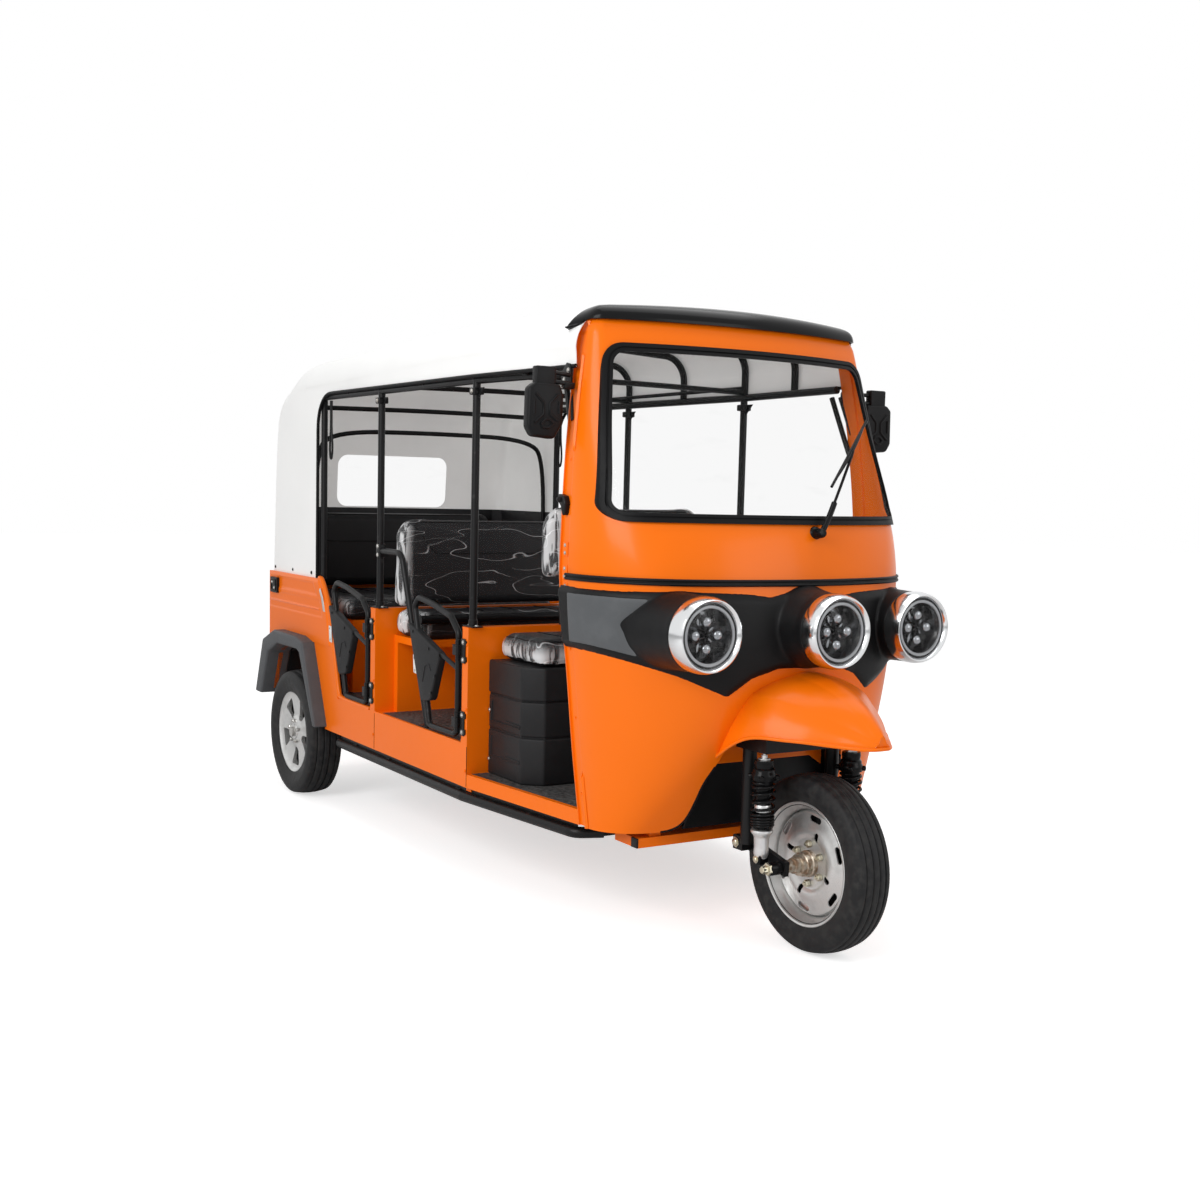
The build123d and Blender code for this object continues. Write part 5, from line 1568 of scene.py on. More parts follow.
class RICKSHAW_OT_cab(bpy.types.Operator):
    """Add the rub strip, end panels, mirrors, wiper and cab fittings"""
    bl_idname = "rickshaw.cab"
    bl_label = "Cab fittings"

    def execute(self, context):
        beads = [bar("bead", [cowl_point(-0.945 + 1.89 * i / 60, z, 0.0035) for i in range(61)],
                     0.0042) for z in (1.0245, 1.0355)]
        base = surface("strip_base", 120, 4, lambda u, v: cowl_point(
            u * 0.945, 1.022 + 0.016 * v, 0.0035))
        settle(join("rub_strip_beads", beads + [base]), "plastic", stands_for="rub_strip")
        # The end panels' grey is partly painted reflection of the key lamp grazing the band.
        panels = []
        for side in (-1, 1):
            def place(u, v):
                a, b = eased(u, 2 * v - 1, 0.16)
                inner = 0.735 - 0.115 * max(0.0, b) ** 1.5 - 0.055 * max(0.0, -b) ** 1.5
                return band_point(side * (inner + (0.925 - inner) * (a + 1) / 2), 0.5 + 0.40 * b,
                                  0.0125 - 0.0035 * max(abs(a), abs(b)) ** 12)
            panels.append(recalculate(surface("end_panel", 40, 30, place), FINE))
        settle(smooth(join("band_end_panels", panels), 50), "grey_plastic")
        self.mirrors()
        self.wiper()
        self.jamb_fittings()
        return {"FINISHED"}

    def mirrors(self):
        """Housings, glasses, arms and bolts of both mirrors"""
        housings, glasses, arms, heads = [], [], [], []
        for side in (-1, 1):
            at = Vector((MIRROR_AT.x, side * MIRROR_AT.y, MIRROR_AT.z))

            def seen(points):
                return [(at.y - side * a, at.z + b) for a, b in points]

            housings += [
                prism("housing", seen(MIRROR), at.x - 0.016, at.x + 0.020, "X", 0.009, 4),
                prism("housing_neck", seen((
                    (-0.030, 0.030), (0.032, 0.030), (0.034, 0.108), (-0.030, 0.108))),
                    at.x - 0.012, at.x + 0.016, "X", 0.005)]
            housings += [bar("ridge", [(at.x + 0.0200, y, z) for y, z in seen(run)], 0.0040,
                             False, 3) for run in MIRROR_RIDGES]
            housings[-1].data.transform(Matrix.Translation((0.0012, 0, 0)))
            glasses.append(prism("glass", seen([(a * 0.88, b * 0.88) for a, b in MIRROR]),
                                 at.x - 0.0185, at.x - 0.0155, "X", 0.001))
            inner = side * 0.532
            for z, reach in ((0.092, 0.0), (0.066, 0.012)):
                arms.append(bar("arm", [
                    (at.x, at.y - side * 0.02, at.z + z),
                    (at.x + reach, at.y - side * 0.06, at.z + z),
                    (EDGE - 0.012 + reach, inner, at.z + z - 0.004)], 0.0065))
            plate = ((-0.050, -0.012), (-0.050, 0.028), (-0.022, 0.056), (-0.004, 0.052),
                     (0.006, 0.010), (0.006, -0.014))
            arms.append(prism("plate", [(EDGE - 0.020 + a, at.z + 0.070 + b) for a, b in plate],
                              *both(side, 0.520, 0.526), "Y", 0.0015))
            arms.append(prism("clamp", [
                (EDGE - 0.028, at.z + 0.048), (EDGE + 0.004, at.z + 0.048),
                (EDGE + 0.010, at.z + 0.066), (EDGE - 0.028, at.z + 0.070)],
                *both(side, 0.524, 0.556), "Y", 0.003))
            heads.append(bolts("bolts", [(EDGE - 0.030, side * 0.526, at.z + 0.104),
                                         (EDGE - 0.052, side * 0.526, at.z + 0.078),
                                         (EDGE - 0.012, side * 0.556, at.z + 0.058)],
                               (0, side, 0), 0.0055))
        settle(join("mirror_housings", housings), "plastic", stands_for="mirrors")
        settle(join("mirror_glasses", glasses), "mirror")
        settle(smooth(join("mirror_arms", arms), 40), "frame")
        settle(join("mirror_bolts", heads), "steel")

    def wiper(self):
        """The wiper with its arm"""
        hub = Vector((EDGE + 0.402, 0.055, 1.168))
        elbow = Vector((EDGE + 0.330, 0.210, 1.372))
        low, high = Vector((EDGE + 0.382, 0.110, 1.300)), Vector((EDGE + 0.272, 0.330, 1.500))
        joint = low.lerp(high, 0.52)
        boss = turned("boss", ((0.0, 0.020), (0.011, 0.018), (0.014, 0.012), (0.0145, -0.012),
                               (0.020, -0.016), (0.021, -0.024)), hub, (1, 0, 0.1), 32)
        sleeve = bar("sleeve", [hub + Vector((0.010, 0, 0.002)), hub.lerp(elbow, 0.22)
                                + Vector((0.016, 0, 0)), hub.lerp(elbow, 0.42)
                                + Vector((0.013, 0, 0))], 0.0085)
        rod = bar("rod", [hub.lerp(elbow, 0.35) + Vector((0.013, 0, 0)),
                          hub.lerp(elbow, 0.85) + Vector((0.012, 0, 0)),
                          joint + Vector((0.012, 0, 0))], 0.0042)
        holder = bar("holder", [low.lerp(high, 0.10), low.lerp(high, 0.3) + Vector((0.010, 0, 0)),
                                low.lerp(high, 0.7) + Vector((0.010, 0, 0)),
                                low.lerp(high, 0.90)], 0.0034)
        blade = bar("blade", [low, low.lerp(high, 0.5) + Vector((0.002, 0, 0)), high], 0.0042)
        settle(smooth(join("wiper_arm", [boss, sleeve, rod, holder, blade]), 50),
               "gloss", stands_for="wiper")

    def jamb_fittings(self):
        """Latches, hinge plates, bolts and rivets on the jambs"""
        latches, plates = [], []
        for side in (-1, 1):
            out = (0, side, 0)
            heads, rivets = [], []
            edge = cowl_point(side, 1.235)
            latches += [
                prism("latch", [(edge.x + back, z) for back, z in JAMB_LATCH],
                      *both(side, 0.538, 0.561), "Y", 0.004),
                turned("knob", ((0.0, 0.012), (0.006, 0.010), (0.008, 0.004), (0.008, 0.0)),
                       (edge.x + 0.008, side * 0.560, 1.246), out, 20)]
            for z in (1.106, 1.040, 0.990):
                edge = cowl_point(side, z)
                y = abs(edge.y) - 0.0072
                plates.append(prism(
                    "hinge_plate", oblong(edge.x + 0.008, z - 0.020, edge.x + 0.036, z + 0.020),
                    *both(side, y, y + 0.003), "Y", 0.001))
                for rise in (-0.011, 0.011):
                    heads.append((edge.x + 0.022, side * (y + 0.003), z + rise))
            for z in (0.40, 0.62, 0.82, 1.36, 1.58):
                edge = cowl_point(side, z)
                rivets.append((edge.x + 0.022, side * (abs(edge.y) - 0.0072), z))
            settle(bolts(f"jamb_bolts_{side + 1}", heads, out, 0.0042), "steel")
            settle(bolts(f"jamb_rivets_{side + 1}", rivets, out, 0.0040), "paint")
        settle(join("cab_latches", latches), "frame")
        settle(join("jamb_hinge_plates", plates), "paint")


# ---------------------------------------------------------------- doors
# A door's moulded cover and the groove in it, back from its hinge bar and up; hinge heights.
DOOR_COVER = ((0.372, 0.801), (0.330, 0.790), (0.126, 0.722), (0.122, 0.700), (0.182, 0.562),
              (0.192, 0.553), (0.250, 0.542), (0.266, 0.550))
DOOR_GROOVE = ((0.182, 0.655), (0.196, 0.676), (0.226, 0.668), (0.246, 0.612))
HINGES = (0.512, 0.748)


class RICKSHAW_OT_doors(bpy.types.Operator):
    """Add the half doors' moulded covers, hinge plates and keepers"""
    bl_idname = "rickshaw.doors"
    bl_label = "Doors"

    def execute(self, context):
        plates, heads, keepers = [], {-1: [], 1: []}, []
        for row, post in (("front", FRONT_POST), ("rear", REAR_POST)):
            for name, side in (("right", -1), ("left", 1)):
                bar_x = post - 0.068
                inner, outer = side * 0.5315, side * 0.5605
                cover = prism("cover", [(bar_x - back, z) for back, z in DOOR_COVER],
                              *sorted((inner, outer)), "Y", 0.006, 4)
                line = [(bar_x - back, outer + side * 0.0004, z) for back, z in DOOR_GROOVE]
                groove = bar("groove", line, 0.0020, False, 3)
                piece = join(f"door_cover_{row}_{name}", [cover, groove])
                settle(piece, "dark_plastic", f"door_{row}_{name}")
                spots = [(bar_x - back, outer, z) for back, z in
                         ((0.150, 0.640), (0.178, 0.580), (0.330, 0.775), (0.200, 0.728))]
                settle(bolts(f"door_bolts_{row}_{name}", spots, (0, side, 0), 0.0050),
                       "frame", f"door_{row}_{name}")
                for z in HINGES:
                    plates.append(prism(
                        "plate", oblong(post - 0.022, z - 0.040, post + 0.006, z + 0.040),
                        *both(side, 0.5565, 0.5615), "Y", 0.002))
                    for rise in (-0.028, 0.028):
                        heads[side].append((post - 0.006, side * 0.5615, z + rise))
        for side in (-1, 1):
            screws = []
            for x, y, z in ((-0.8765, side * 0.5575, 0.690), (-0.146, side * 0.5285, 0.655)):
                face = y + side * 0.003
                keepers.append(prism("keeper", [
                    (x - 0.014, z - 0.030), (x + 0.012, z - 0.033), (x + 0.004, z + 0.030),
                    (x - 0.020, z + 0.032)], *sorted((y, face)), "Y", 0.001))
                screws += [(x - 0.002, face, z - 0.022), (x - 0.008, face, z + 0.022)]
            out = (0, side, 0)
            settle(bolts(f"hinge_bolts_{side + 1}", heads[side], out, 0.0062), "steel")
            settle(bolts(f"keeper_screws_{side + 1}", screws, out, 0.0036), "steel")
        settle(join("hinge_plates", plates), "frame")
        settle(join("door_keepers", keepers), "white_plastic")
        return {"FINISHED"}


# ---------------------------------------------------------------- seat box
# The box under the driver's seat: its ends, its half width and its chamfers.
SEAT_BACK, SEAT_FRONT, SEAT_SIDE, SEAT_CHAMFER = 0.3145, 0.5885, 0.480, 0.055


def seat_plan(grow):
    """Outline of the seat box from above, grown all round but for its back."""
    front, side = SEAT_FRONT + grow, SEAT_SIDE + grow
    return ((SEAT_BACK, -side), (front - SEAT_CHAMFER, -side), (front, -side + SEAT_CHAMFER),
            (front, side - SEAT_CHAMFER), (front - SEAT_CHAMFER, side), (SEAT_BACK, side))


class RICKSHAW_OT_seat_box(bpy.types.Operator):
    """Form the moulded box under the driver's seat"""
    bl_idname = "rickshaw.seat_box"
    bl_label = "Seat box"

    def execute(self, context):
        tiers = [prism("tier", seat_plan(grow), low, high, "Z", 0.007, 4)
                 for low, high, grow in ((0.350, 0.4975, 0.0), (0.5015, 0.6125, -0.001),
                                         (0.6165, 0.722, 0.002))]
        tiers.append(prism("core", seat_plan(-0.006), 0.36, 0.71, "Z", 0))
        for side in (-1, 1):
            for z in (0.556, 0.444):
                tiers.append(bar("panel_line", [(x, side * 0.4798, z + up) for x, up in (
                    (SEAT_BACK + 0.024, 0.034), (SEAT_BACK + 0.020, -0.030),
                    (SEAT_FRONT - 0.062, -0.030), (SEAT_FRONT - 0.062, -0.022),
                    (SEAT_BACK + 0.120, -0.020))], 0.0026, False, 3))
        tiers += [bar("seam", [(SEAT_FRONT, y, 0.37), (SEAT_FRONT, y, 0.605)], 0.0022, False, 3)
                  for y in (-0.18, 0.18)]
        settle(join("seat_box_shell", tiers), "dark_plastic", stands_for="seat_box")
        spots = [(SEAT_FRONT - 0.001, y, 0.545) for y in (-0.30, -0.10, 0.10, 0.30)]
        settle(bolts("seat_box_bolts", spots, (1, 0, 0), 0.0058), "steel")
        side_spots = [(SEAT_BACK + 0.012, -0.482, z) for z in (0.40, 0.56)]
        settle(bolts("seat_box_side_bolts", side_spots, (0, -1, 0), 0.0058), "steel")
        latch = [brick("latch", (SEAT_FRONT - 0.002, -0.075, 0.372),
                       (SEAT_FRONT + 0.010, -0.035, 0.418), 0.003),
                 brick("latch_foot", (SEAT_FRONT - 0.002, -0.090, 0.351),
                       (SEAT_FRONT + 0.028, -0.022, 0.358), 0.002),
                 bar("latch_loop", [(SEAT_FRONT + 0.010, -0.068, 0.405),
                                    (SEAT_FRONT + 0.022, -0.062, 0.388),
                                    (SEAT_FRONT + 0.022, -0.048, 0.388),
                                    (SEAT_FRONT + 0.010, -0.042, 0.405)], 0.0028)]
        settle(join("seat_box_latch", latch), "frame")
        return {"FINISHED"}


# ---------------------------------------------------------------- suspension
# A damper's place, and its spring as rows of height and radius.
DAMPER_X, DAMPER_Y = AXLE_FRONT - 0.051, 0.158
COIL = ((0.357, 0.027), (0.364, 0.031), (0.371, 0.031), (0.378, 0.031), (0.386, 0.031),
        (0.396, 0.031), (0.412, 0.032), (0.434, 0.032), (0.456, 0.032), (0.474, 0.031),
        (0.484, 0.028))


# Turned bright parts of a damper: profile from the ground up, and steps round.
DAMPER_SILVER = (
    ("lower", ((0.0, 0.352), (0.020, 0.352), (0.0305, 0.350), (0.0315, 0.346), (0.0305, 0.342),
               (0.024, 0.334), (0.0215, 0.326), (0.0205, 0.300), (0.0215, 0.285), (0.018, 0.272),
               (0.010, 0.262), (0.0, 0.260)), 40),
    ("band", ((0.0222, 0.421), (0.0232, 0.419), (0.0232, 0.402), (0.0205, 0.399),
              (0.0, 0.399)), 40),
    ("top_nut", ((0.0, 0.567), (0.0045, 0.567), (0.0045, 0.560), (0.0085, 0.559),
                 (0.0085, 0.551), (0.017, 0.550), (0.017, 0.546)), 6))


def coil(name, centre, rows, wire):
    """A spring wound through rows of height and radius, one turn a row."""
    points = []
    steps = 12
    for turn, ((z0, r0), (z1, r1)) in enumerate(zip(rows, rows[1:])):
        for step in range(steps):
            share = step / steps
            angle = 2 * pi * share
            reach = r0 + (r1 - r0) * share
            points.append((centre[0] + reach * cos(angle), centre[1] + reach * sin(angle),
                           z0 + (z1 - z0) * share))
    return bar(name, points, wire, True, 3)


class RICKSHAW_OT_suspension(bpy.types.Operator):
    """Form the front dampers, their springs and the link bolts"""
    bl_idname = "rickshaw.suspension"
    bl_label = "Suspension"

    def execute(self, context):
        wire = context.scene.rickshaw_sizes.coil / 2
        springs, blacks, silvers, zincs = [], [], [], []
        for side in (-1, 1):
            centre = (DAMPER_X, side * DAMPER_Y, 0.0)
            springs.append(coil("spring", centre, COIL, wire))
            blacks.append(turned("upper", (
                (0.0, 0.546), (0.026, 0.545), (0.0275, 0.538), (0.026, 0.524), (0.030, 0.520),
                (0.031, 0.512), (0.034, 0.508), (0.035, 0.498), (0.0335, 0.490), (0.027, 0.488),
                (0.026, 0.470), (0.024, 0.462), (0.022, 0.425), (0.0205, 0.420), (0.012, 0.420),
                (0.012, 0.350)), centre, (0, 0, 1), 40))
            silvers += [turned(part, profile, centre, (0, 0, 1), steps)
                        for part, profile, steps in DAMPER_SILVER]
            for step in range(4):
                angle = pi / 4 + pi / 2 * step
                at = (centre[0] + 0.034 * cos(angle), centre[1] + 0.034 * sin(angle), 0.499)
                blacks.append(turned("knob", (
                    (0.0, 0.010), (0.006, 0.009), (0.0075, 0.006), (0.0075, 0.0), (0.0, 0.0)),
                    at, (cos(angle), sin(angle), 0), 16))
            out = (0, side, 0)
            zincs += [
                bolts("pin", [(DAMPER_X, side * 0.1755, 0.268)], out, 0.0085),
                bolts("pin", [(AXLE_FRONT - 0.154, side * 0.168, 0.293)], out, 0.011),
                turned("axle_nut", (
                    (0.0, 0.196), (0.009, 0.195), (0.011, 0.190), (0.012, 0.178),
                    (0.018, 0.177), (0.019, 0.170)), (AXLE_FRONT, 0, FRONT_RADIUS), out, 6)]
            blacks.append(turned("sleeve", (
                (0.0, 0.172), (0.017, 0.172), (0.019, 0.168), (0.019, 0.136), (0.0, 0.134)),
                (AXLE_FRONT, 0, FRONT_RADIUS), out, 24))
            blacks.append(brick("eye", (DAMPER_X - 0.016, side * DAMPER_Y - 0.016, 0.252),
                                (DAMPER_X + 0.016, side * DAMPER_Y + 0.016, 0.286), 0.005))
        settle(smooth(join("damper_coils", springs), 50),
                       "gloss", "steering", stands_for="damper_springs")
        settle(smooth(join("damper_bodies", silvers), 35),
                       "alloy", "steering", stands_for="dampers")
        settle(smooth(join("damper_uppers", blacks), 35), "gloss", "steering")
        settle(smooth(join("link_bolts", zincs), 35), "zinc", "steering")
        return {"FINISHED"}


# ---------------------------------------------------------------- body sides
# A rear wheel's flare, ahead of the axle and up.
FLARE = ((0.295, 0.316), (0.150, 0.640), (0.066, 0.657), (-0.190, 0.659), (-0.325, 0.610),
         (-0.418, 0.371), (-0.345, 0.371), (-0.262, 0.560), (-0.150, 0.606), (0.086, 0.606),
         (0.118, 0.594), (0.274, 0.316))
# A hanging strap, ahead of the canopy's opening and up.
STRAP = ((0.060, 1.598), (0.064, 1.50), (0.050, 1.42), (0.058, 1.372), (0.074, 1.372),
         (0.082, 1.42), (0.066, 1.50), (0.070, 1.598))
# Distances out of the body's side panels and of the seams on them.
SIDE = 0.557
SEAM = 0.5572


def soft_box(x, z, box, soft):
    """1 inside a box, falling to 0 over its soft edge."""
    x0, x1, z0, z1 = box
    near = min(x - x0, x1 - x, z - z0, z1 - z)
    part = min(1.0, max(0.0, near / soft))
    return part * part * (3 - 2 * part)


def tub_point(side, u, v):
    """Place on the tub's pressed side panel: u along it from -1 to 1, v up it."""
    z = 0.640 + 0.256 * v
    front = between(((0.445, 0.406), (0.787, 0.300), (0.897, 0.208)), z) + REAR - 0.012
    x = TAIL + 0.002 + (front - TAIL - 0.002) * (u + 1) / 2
    relief = 0.0042
    relief -= 0.0030 * soft_box(x, z, (TAIL + 0.105, front - 0.065, 0.826, 0.884), 0.012)
    relief -= 0.0016 * soft_box(x, z, (TAIL - 0.1, front - 0.050, 0.742, 0.818), 0.010)
    relief += 0.0034 * soft_box(x, z, (TAIL - 0.1, front - 0.075, 0.772, 0.781), 0.0045)
    edge = min(1.0, (1 - abs(u)) * 30, (1 - v) * 20)
    return Vector((x, side * (SIDE + relief * edge), z))


class RICKSHAW_OT_body(bpy.types.Operator):
    """Add the pressed tub sides, flares, edges, seams and side fittings"""
    bl_idname = "rickshaw.body"
    bl_label = "Body sides"

    def execute(self, context):
        tubs, flares, edges, seams, strips, caps = [], [], [], [], [], []
        for side in (-1, 1):
            tub = surface("tub", 150, 90, lambda u, v: tub_point(side, u, v))
            tubs.append(smooth(recalculate(tub, FINE), 50))
            flares.append(prism("flare", [(REAR + x, z) for x, z in FLARE],
                                *both(side, 0.505, 0.612), "Y", 0.013, 4))
            opening = [(REAR + 0.185, 0.899), (REAR + 0.215, 0.897), (REAR + 0.300, 0.787),
                       (REAR + 0.345, 0.642), (REAR + 0.400, 0.462), (REAR + 0.420, 0.447),
                       (-0.500, 0.446)]
            edges += [
                bar("edge", rounded([(x, side * 0.5480, z) for x, z in opening], 2), 0.0095),
                bar("edge", [(x, side * 0.5535, 0.4445) for x in (-0.4425, 0.2705)], 0.0035,
                    False)]
            seams += [bar("seam", [(x, side * SEAM, z) for z in heights], 0.0009, False, 2)
                      for x, heights in ((-0.4425, (0.31, 0.440)), (0.3145, (0.31, 0.440)),
                                         (0.2705 + 0.002, (0.46, 0.82)),
                                         (-0.4865 + 0.002, (0.46, 0.82)))]
            strips.append(prism("strip", [(REAR + x, z) for x, z in (
                (0.226, 0.862), (0.256, 0.826), (0.278, 0.772), (0.260, 0.772), (0.238, 0.822),
                (0.214, 0.852))], *both(side, 0.5605, 0.5630), "Y", 0.0008))
            caps.append(prism("cap", oblong(EDGE + 0.166, 0.2625, EDGE + 0.1965, 0.2905),
                              *both(side, 0.393, 0.399), "Y", 0.001))
        settle(join("tub_sides", tubs), "paint")
        settle(join("wheel_flares", flares), "flare", stands_for="arch_flares")
        settle(join("opening_edges", edges), "paint")
        settle(join("panel_seams", seams), "rubber")
        settle(join("side_reflectors", strips), "silver")
        settle(join("beam_caps", caps), "frame")
        self.tail()
        self.inside()
        self.fittings()
        self.arch()
        return {"FINISHED"}

    def tail(self):
        """Tail lamps and the pressing between them"""
        bezels, reds, ambers = [], [], []
        for side in (-1, 1):
            near, far = both(side, 0.415, 0.525)
            bezels.append(brick("bezel", (TAIL - 0.014, near, 0.690), (TAIL + 0.001, far, 0.850),
                                0.006))
            for lenses, back, foot, top in ((reds, 0.022, 0.770, 0.842),
                                            (ambers, 0.021, 0.698, 0.764)):
                lenses.append(brick("lens", (TAIL - back, near + 0.008, foot),
                                    (TAIL - 0.010, far - 0.008, top), 0.005))
            for z in (0.704, 0.836):
                bezels.append(turned("screw", (
                    (0.0, 0.002), (0.003, 0.002), (0.004, 0.0), (0.0, 0.0)),
                    (TAIL - 0.0218, side * 0.470, z), (-1, 0, 0), 12))
        settle(join("tail_bezels", bezels), "plastic")
        settle(join("tail_reds", reds), "red", stands_for="tail_lamps")
        settle(join("tail_ambers", ambers), "amber")
        pressing = [prism("pressing", oblong(-0.360, 0.560, 0.360, 0.830), TAIL - 0.0045,
                          TAIL + 0.002, "X", 0.004),
                    prism("pressing", oblong(-0.240, 0.610, 0.240, 0.740), TAIL - 0.0085,
                          TAIL - 0.002, "X", 0.0035)]
        settle(join("tail_pressing", pressing), "paint")

    def inside(self):
        """Liners in the rear arches and the rail behind the driver"""
        inner = [(REAR + x, z) for x, z in FLARE[6:]]
        outer = [(REAR + x * 1.02, 0.30 + (z - 0.30) * 1.022) for x, z in reversed(FLARE[6:])]
        liners = [prism("wheel_liner", inner + outer, *both(side, 0.375, 0.507), "Y", 0.001)
                  for side in (-1, 1)]
        settle(join("wheel_liners", liners), "plastic")
        settle(bar("bench_rail", [(-0.1965, -0.492, 0.804), (-0.1965, 0.492, 0.804)], 0.0155,
                   False), "gloss")

    def fittings(self):
        """Post feet, clamps, stays, latches and bolts on both sides"""
        feet, clamps = [], []
        for side in (-1, 1):
            out, y = (0, side, 0), side * POST
            heads, orange = [], []
            for post in (FRONT_POST, REAR_POST):
                feet += [
                    prism("foot", oblong(post - 0.034, y - 0.020, post + 0.034, y + 0.020), 0.826,
                          0.8305, "Z", 0.0015),
                    turned("collar", ((0.0126, 0.020), (0.0150, 0.018), (0.0155, 0.0),
                                      (0.0126, 0.0)), (post, y, 0.8305), (0, 0, 1), 28)]
                settle(bolts(f"foot_bolts_{side + 1}_{post > 0}", [
                    (post - 0.025, y, 0.8305), (post + 0.025, y, 0.8305)], (0, 0, 1), 0.0058),
                    "steel")
                orange += [(post + 0.012, side * SEAM, z) for z in (0.36, 0.56, 0.77)]
                clamps += [
                    brick("clamp", (post - 0.020, y - 0.018, 1.566),
                          (post + 0.020, y + 0.018, 1.588), 0.004),
                    prism("gusset", [(post + 0.010, 1.588), (post + 0.010, 1.548),
                                     (post + 0.052, 1.588)], y - 0.002, y + 0.002, "Y", 0.001)]
                heads.append((post, side * 0.548, 1.577))
            for z in (1.020, 1.052):
                heads.append((REAR_POST + 0.004, side * 0.5425, z))
            clamps += [
                brick("rail_clamp", (REAR_POST - 0.014, y - 0.013, 1.012),
                      (REAR_POST + 0.022, y + 0.013, 1.060), 0.004),
                prism("rail_foot", oblong(-0.105, side * 0.516 - 0.020, -0.035,
                                          side * 0.516 + 0.020), 0.4450, 0.4500, "Z", 0.0015)]
            settle(bolts(f"post_bolts_{side + 1}", heads, out, 0.0062), "steel")
            settle(bolts(f"body_bolts_{side + 1}", orange, out, 0.0048), "paint")
            corners_round = ((0.330, 0.818), (0.330, 0.862), (0.276, 0.862), (0.276, 0.818),
                             (0.330, 0.818))
            latch = bar(f"latch_rim_{side + 1}", [
                (REAR - back, side * 0.5715, z) for back, z in corners_round], 0.0035, False, 3)
            settle(latch, "plastic")
            settle(bolts(f"latch_screws_{side + 1}", [(REAR - 0.316, side * 0.5712, 0.852),
                                                      (REAR - 0.290, side * 0.5712, 0.828)],
                         out, 0.0055), "steel")
            clamps += [
                bar("strap", [(OPENING + x, side * 0.520, z) for x, z in STRAP], 0.0042),
                bar("cab_stay", [(0.800, side * 0.500, 1.590), (0.862, side * 0.512, 1.440),
                                 (EDGE - 0.006, side * 0.518, 1.395)], 0.0085),
                bar("cab_stay", [(0.840, side * 0.500, 1.590),
                                 (EDGE - 0.008, side * 0.520, 1.470)], 0.0065)]
        settle(join("post_feet", feet), "frame")
        settle(smooth(join("frame_clamps", clamps), 40), "frame")

    def arch(self):
        """Bead and liner of the arch over the front wheel"""
        beads = []
        for side in (-1, 1):
            points = []
            for y, z in ARCH[1:8]:
                front = cowl_point(around_at(side * abs(y), z), z)
                points.append((front.x - 0.004, front.y, z))
            beads.append(bar("arch_bead", rounded(points, 2), 0.0052))
        liner = prism("arch_liners", [(-0.246, 0.462), (-0.200, 0.492), (0.200, 0.492),
                                      (0.246, 0.462), (0.246, 0.696), (-0.246, 0.696)],
                      EDGE + 0.2185, EDGE + 0.2250, "X", 0.002)
        settle(smooth(join("arch_beads", beads), 50), "rubber")
        settle(liner, "paint")


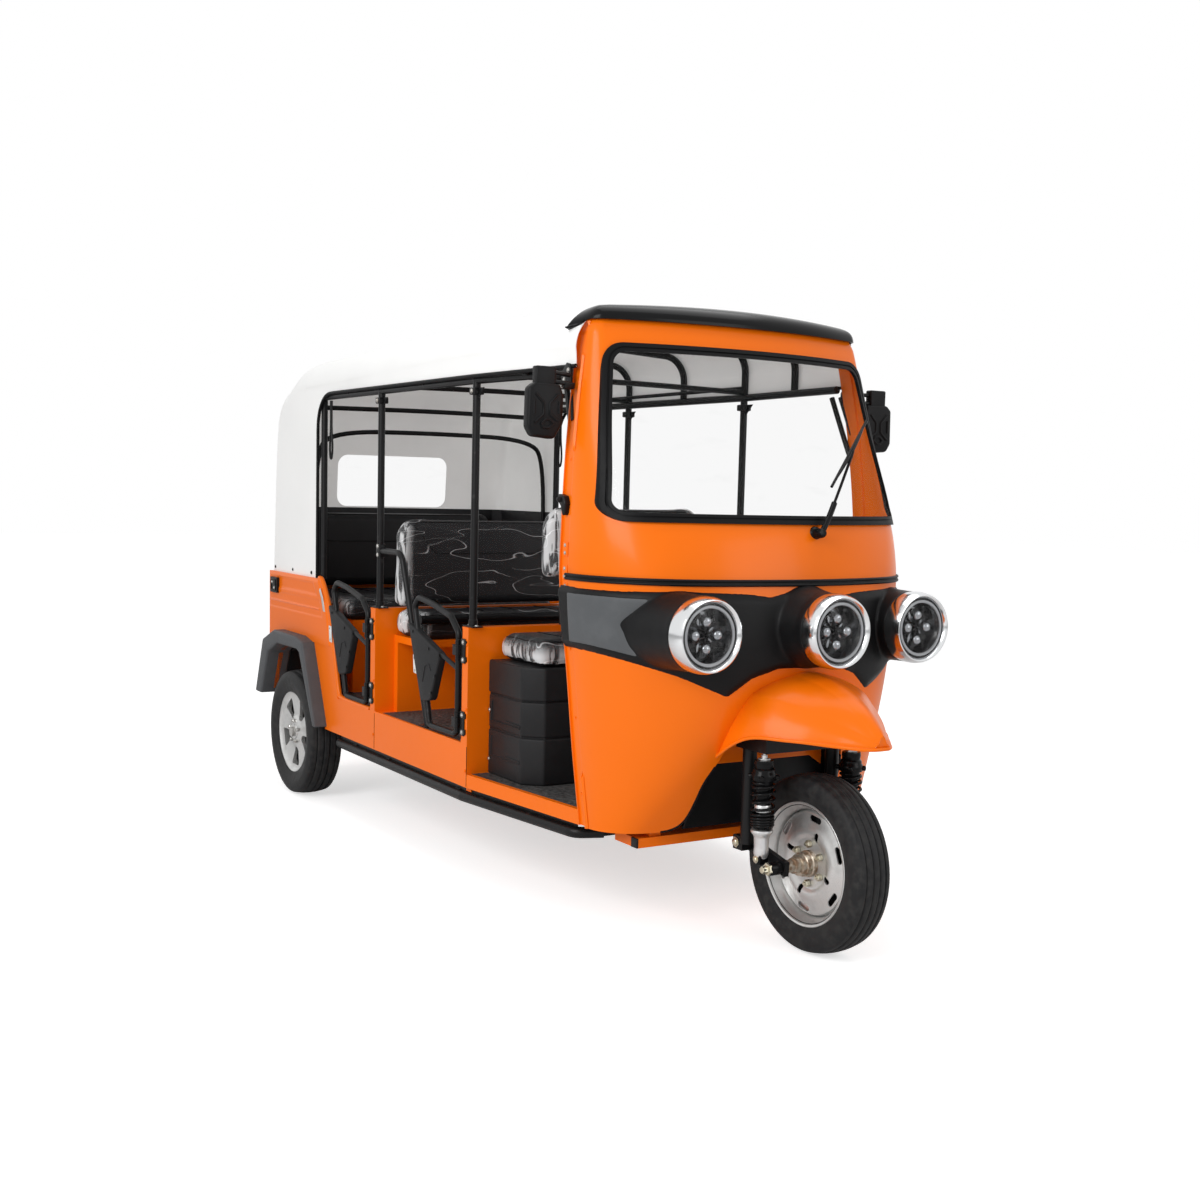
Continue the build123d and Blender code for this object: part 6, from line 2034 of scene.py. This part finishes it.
# ---------------------------------------------------------------- controls
class RICKSHAW_OT_controls(bpy.types.Operator):
    """Add the grips, levers, switches, the dashboard's edge and the webs over the step rails"""
    bl_idname = "rickshaw.controls"
    bl_label = "Controls"

    def execute(self, context):
        low, high = (Vector(corner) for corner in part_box("handlebar"))
        front, level = high.x - 0.050, (low.z + high.z) / 2
        grips, levers, pods = [], [], []
        ribs = [(0.0, -0.002), (0.0225, -0.002), (0.0225, 0.004), (0.0165, 0.006)]
        for step in range(12):
            ribs += [(0.0172, 0.010 + 0.008 * step), (0.0156, 0.0125 + 0.008 * step),
                     (0.0156, 0.0155 + 0.008 * step)]
        ribs += [(0.0178, 0.110), (0.0170, 0.116), (0.0, 0.119)]
        for side in (-1, 1):
            inner = Vector((front - 0.070, side * 0.150, level + 0.010))
            outer = Vector((front - 0.140, side * 0.270, level + 0.010))
            run = (outer - inner).normalized()
            ahead = Vector((run.y * side, -run.x * side, 0.0))
            start = outer - run * 0.112
            grips.append(turned("grip", tuple(ribs), start, run, 28))
            clamp = start - run * 0.020
            pods += [
                turned("pod", ((0.0, -0.016), (0.0185, -0.016), (0.0205, -0.012),
                               (0.0205, 0.012), (0.0185, 0.016), (0.0, 0.016)), clamp, run, 24),
                brick("switch", clamp + Vector((-0.022, -0.009, 0.006)),
                      clamp + Vector((-0.006, 0.009, 0.026)), 0.003)]
            levers += [
                bar("lever", [clamp + ahead * out + run * reach for out, reach in (
                    (0.018, 0.0), (0.040, 0.012), (0.046, 0.060), (0.042, 0.115))], 0.0052),
                turned("ball", ((0.0, -0.007), (0.005, -0.005), (0.007, 0.0), (0.005, 0.005),
                                (0.0, 0.007)), clamp + ahead * 0.042 + run * 0.116, run, 16)]
        settle(smooth(join("handlebar_grips", grips), 40), "rubber", "steering")
        settle(smooth(join("brake_levers", levers), 50), "alloy", "steering")
        settle(smooth(join("switch_pods", pods), 40), "plastic", "steering")
        self.dial(front - 0.060, level)
        self.trim()
        return {"FINISHED"}

    def dial(self, rear, level):
        """Dial and key on the handlebar's head"""
        face = prism("dial_face", oblong(-0.058, level - 0.020, 0.058, level + 0.026),
                     rear - 0.0015, rear + 0.001, "X", 0.001)
        settle(face, "gloss", "steering")
        key = turned("key_barrel", ((0.0, 0.006), (0.004, 0.006), (0.005, 0.004), (0.011, 0.004),
                                    (0.012, 0.0), (0.0, 0.0)), (rear, 0.0, level - 0.031),
                     (-1, 0, 0), 24)
        settle(smooth(key, 40), "zinc", "steering")

    def trim(self):
        """Webs over the step rails and the dashboard's edge"""
        webs = []
        for side in (-1, 1):
            webs += [
                prism("web", oblong(REAR + 0.42, 0.284, 0.2725, 0.308),
                      *both(side, 0.536, 0.540), "Y", 0),
                prism("web", [(0.2725, side * 0.540), (EDGE - 0.020, side * 0.468),
                              (EDGE - 0.020, side * 0.464), (0.2725, side * 0.536)],
                      0.284, 0.308, "Z", 0)]
        settle(join("step_webs", webs), "frame")
        low, high = (Vector(corner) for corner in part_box("dashboard"))
        edge = bar("dashboard_edge", [(low.x + 0.001, low.y + 0.012, 1.174),
                                      (low.x + 0.001, high.y - 0.012, 1.174)], 0.0125, False)
        settle(smooth(edge, 50), "rubber")


OPERATORS = (RICKSHAW_OT_stage, RICKSHAW_OT_finishes, RICKSHAW_OT_nose, RICKSHAW_OT_lamps,
             RICKSHAW_OT_guards, RICKSHAW_OT_canopy, RICKSHAW_OT_seats, RICKSHAW_OT_wheels,
             RICKSHAW_OT_cab, RICKSHAW_OT_doors, RICKSHAW_OT_seat_box, RICKSHAW_OT_suspension,
             RICKSHAW_OT_body, RICKSHAW_OT_controls)


class RICKSHAW_PT_parts(bpy.types.Panel):
    """Buttons that build the rickshaw's parts"""
    bl_idname = "RICKSHAW_PT_parts"
    bl_label = "Rickshaw"
    bl_space_type = "VIEW_3D"
    bl_region_type = "UI"
    bl_category = "Rickshaw"

    def draw(self, context):
        for group in (context.scene.rickshaw_colours, context.scene.rickshaw_sizes):
            for label in group.__annotations__:
                self.layout.prop(group, label)
        for operator in OPERATORS:
            self.layout.operator(operator.bl_idname)


CLASSES = (RickshawColours, RickshawSizes) + OPERATORS + (RICKSHAW_PT_parts,)


def register():
    for item in CLASSES:
        bpy.utils.register_class(item)
    bpy.types.Scene.rickshaw_colours = PointerProperty(type=RickshawColours)
    bpy.types.Scene.rickshaw_sizes = PointerProperty(type=RickshawSizes)


def unregister():
    del bpy.types.Scene.rickshaw_sizes
    del bpy.types.Scene.rickshaw_colours
    for item in reversed(CLASSES):
        bpy.utils.unregister_class(item)


def corners(box):
    return [list(corner) for corner in box]


def main():
    register()
    for operator in OPERATORS:
        group, name = operator.bl_idname.split(".")
        getattr(getattr(bpy.ops, group), name)()
    clear_selection()
    {"cad": corners(CAD_BOX), "visual": corners(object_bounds())}


if __name__ == "__main__":
    main()
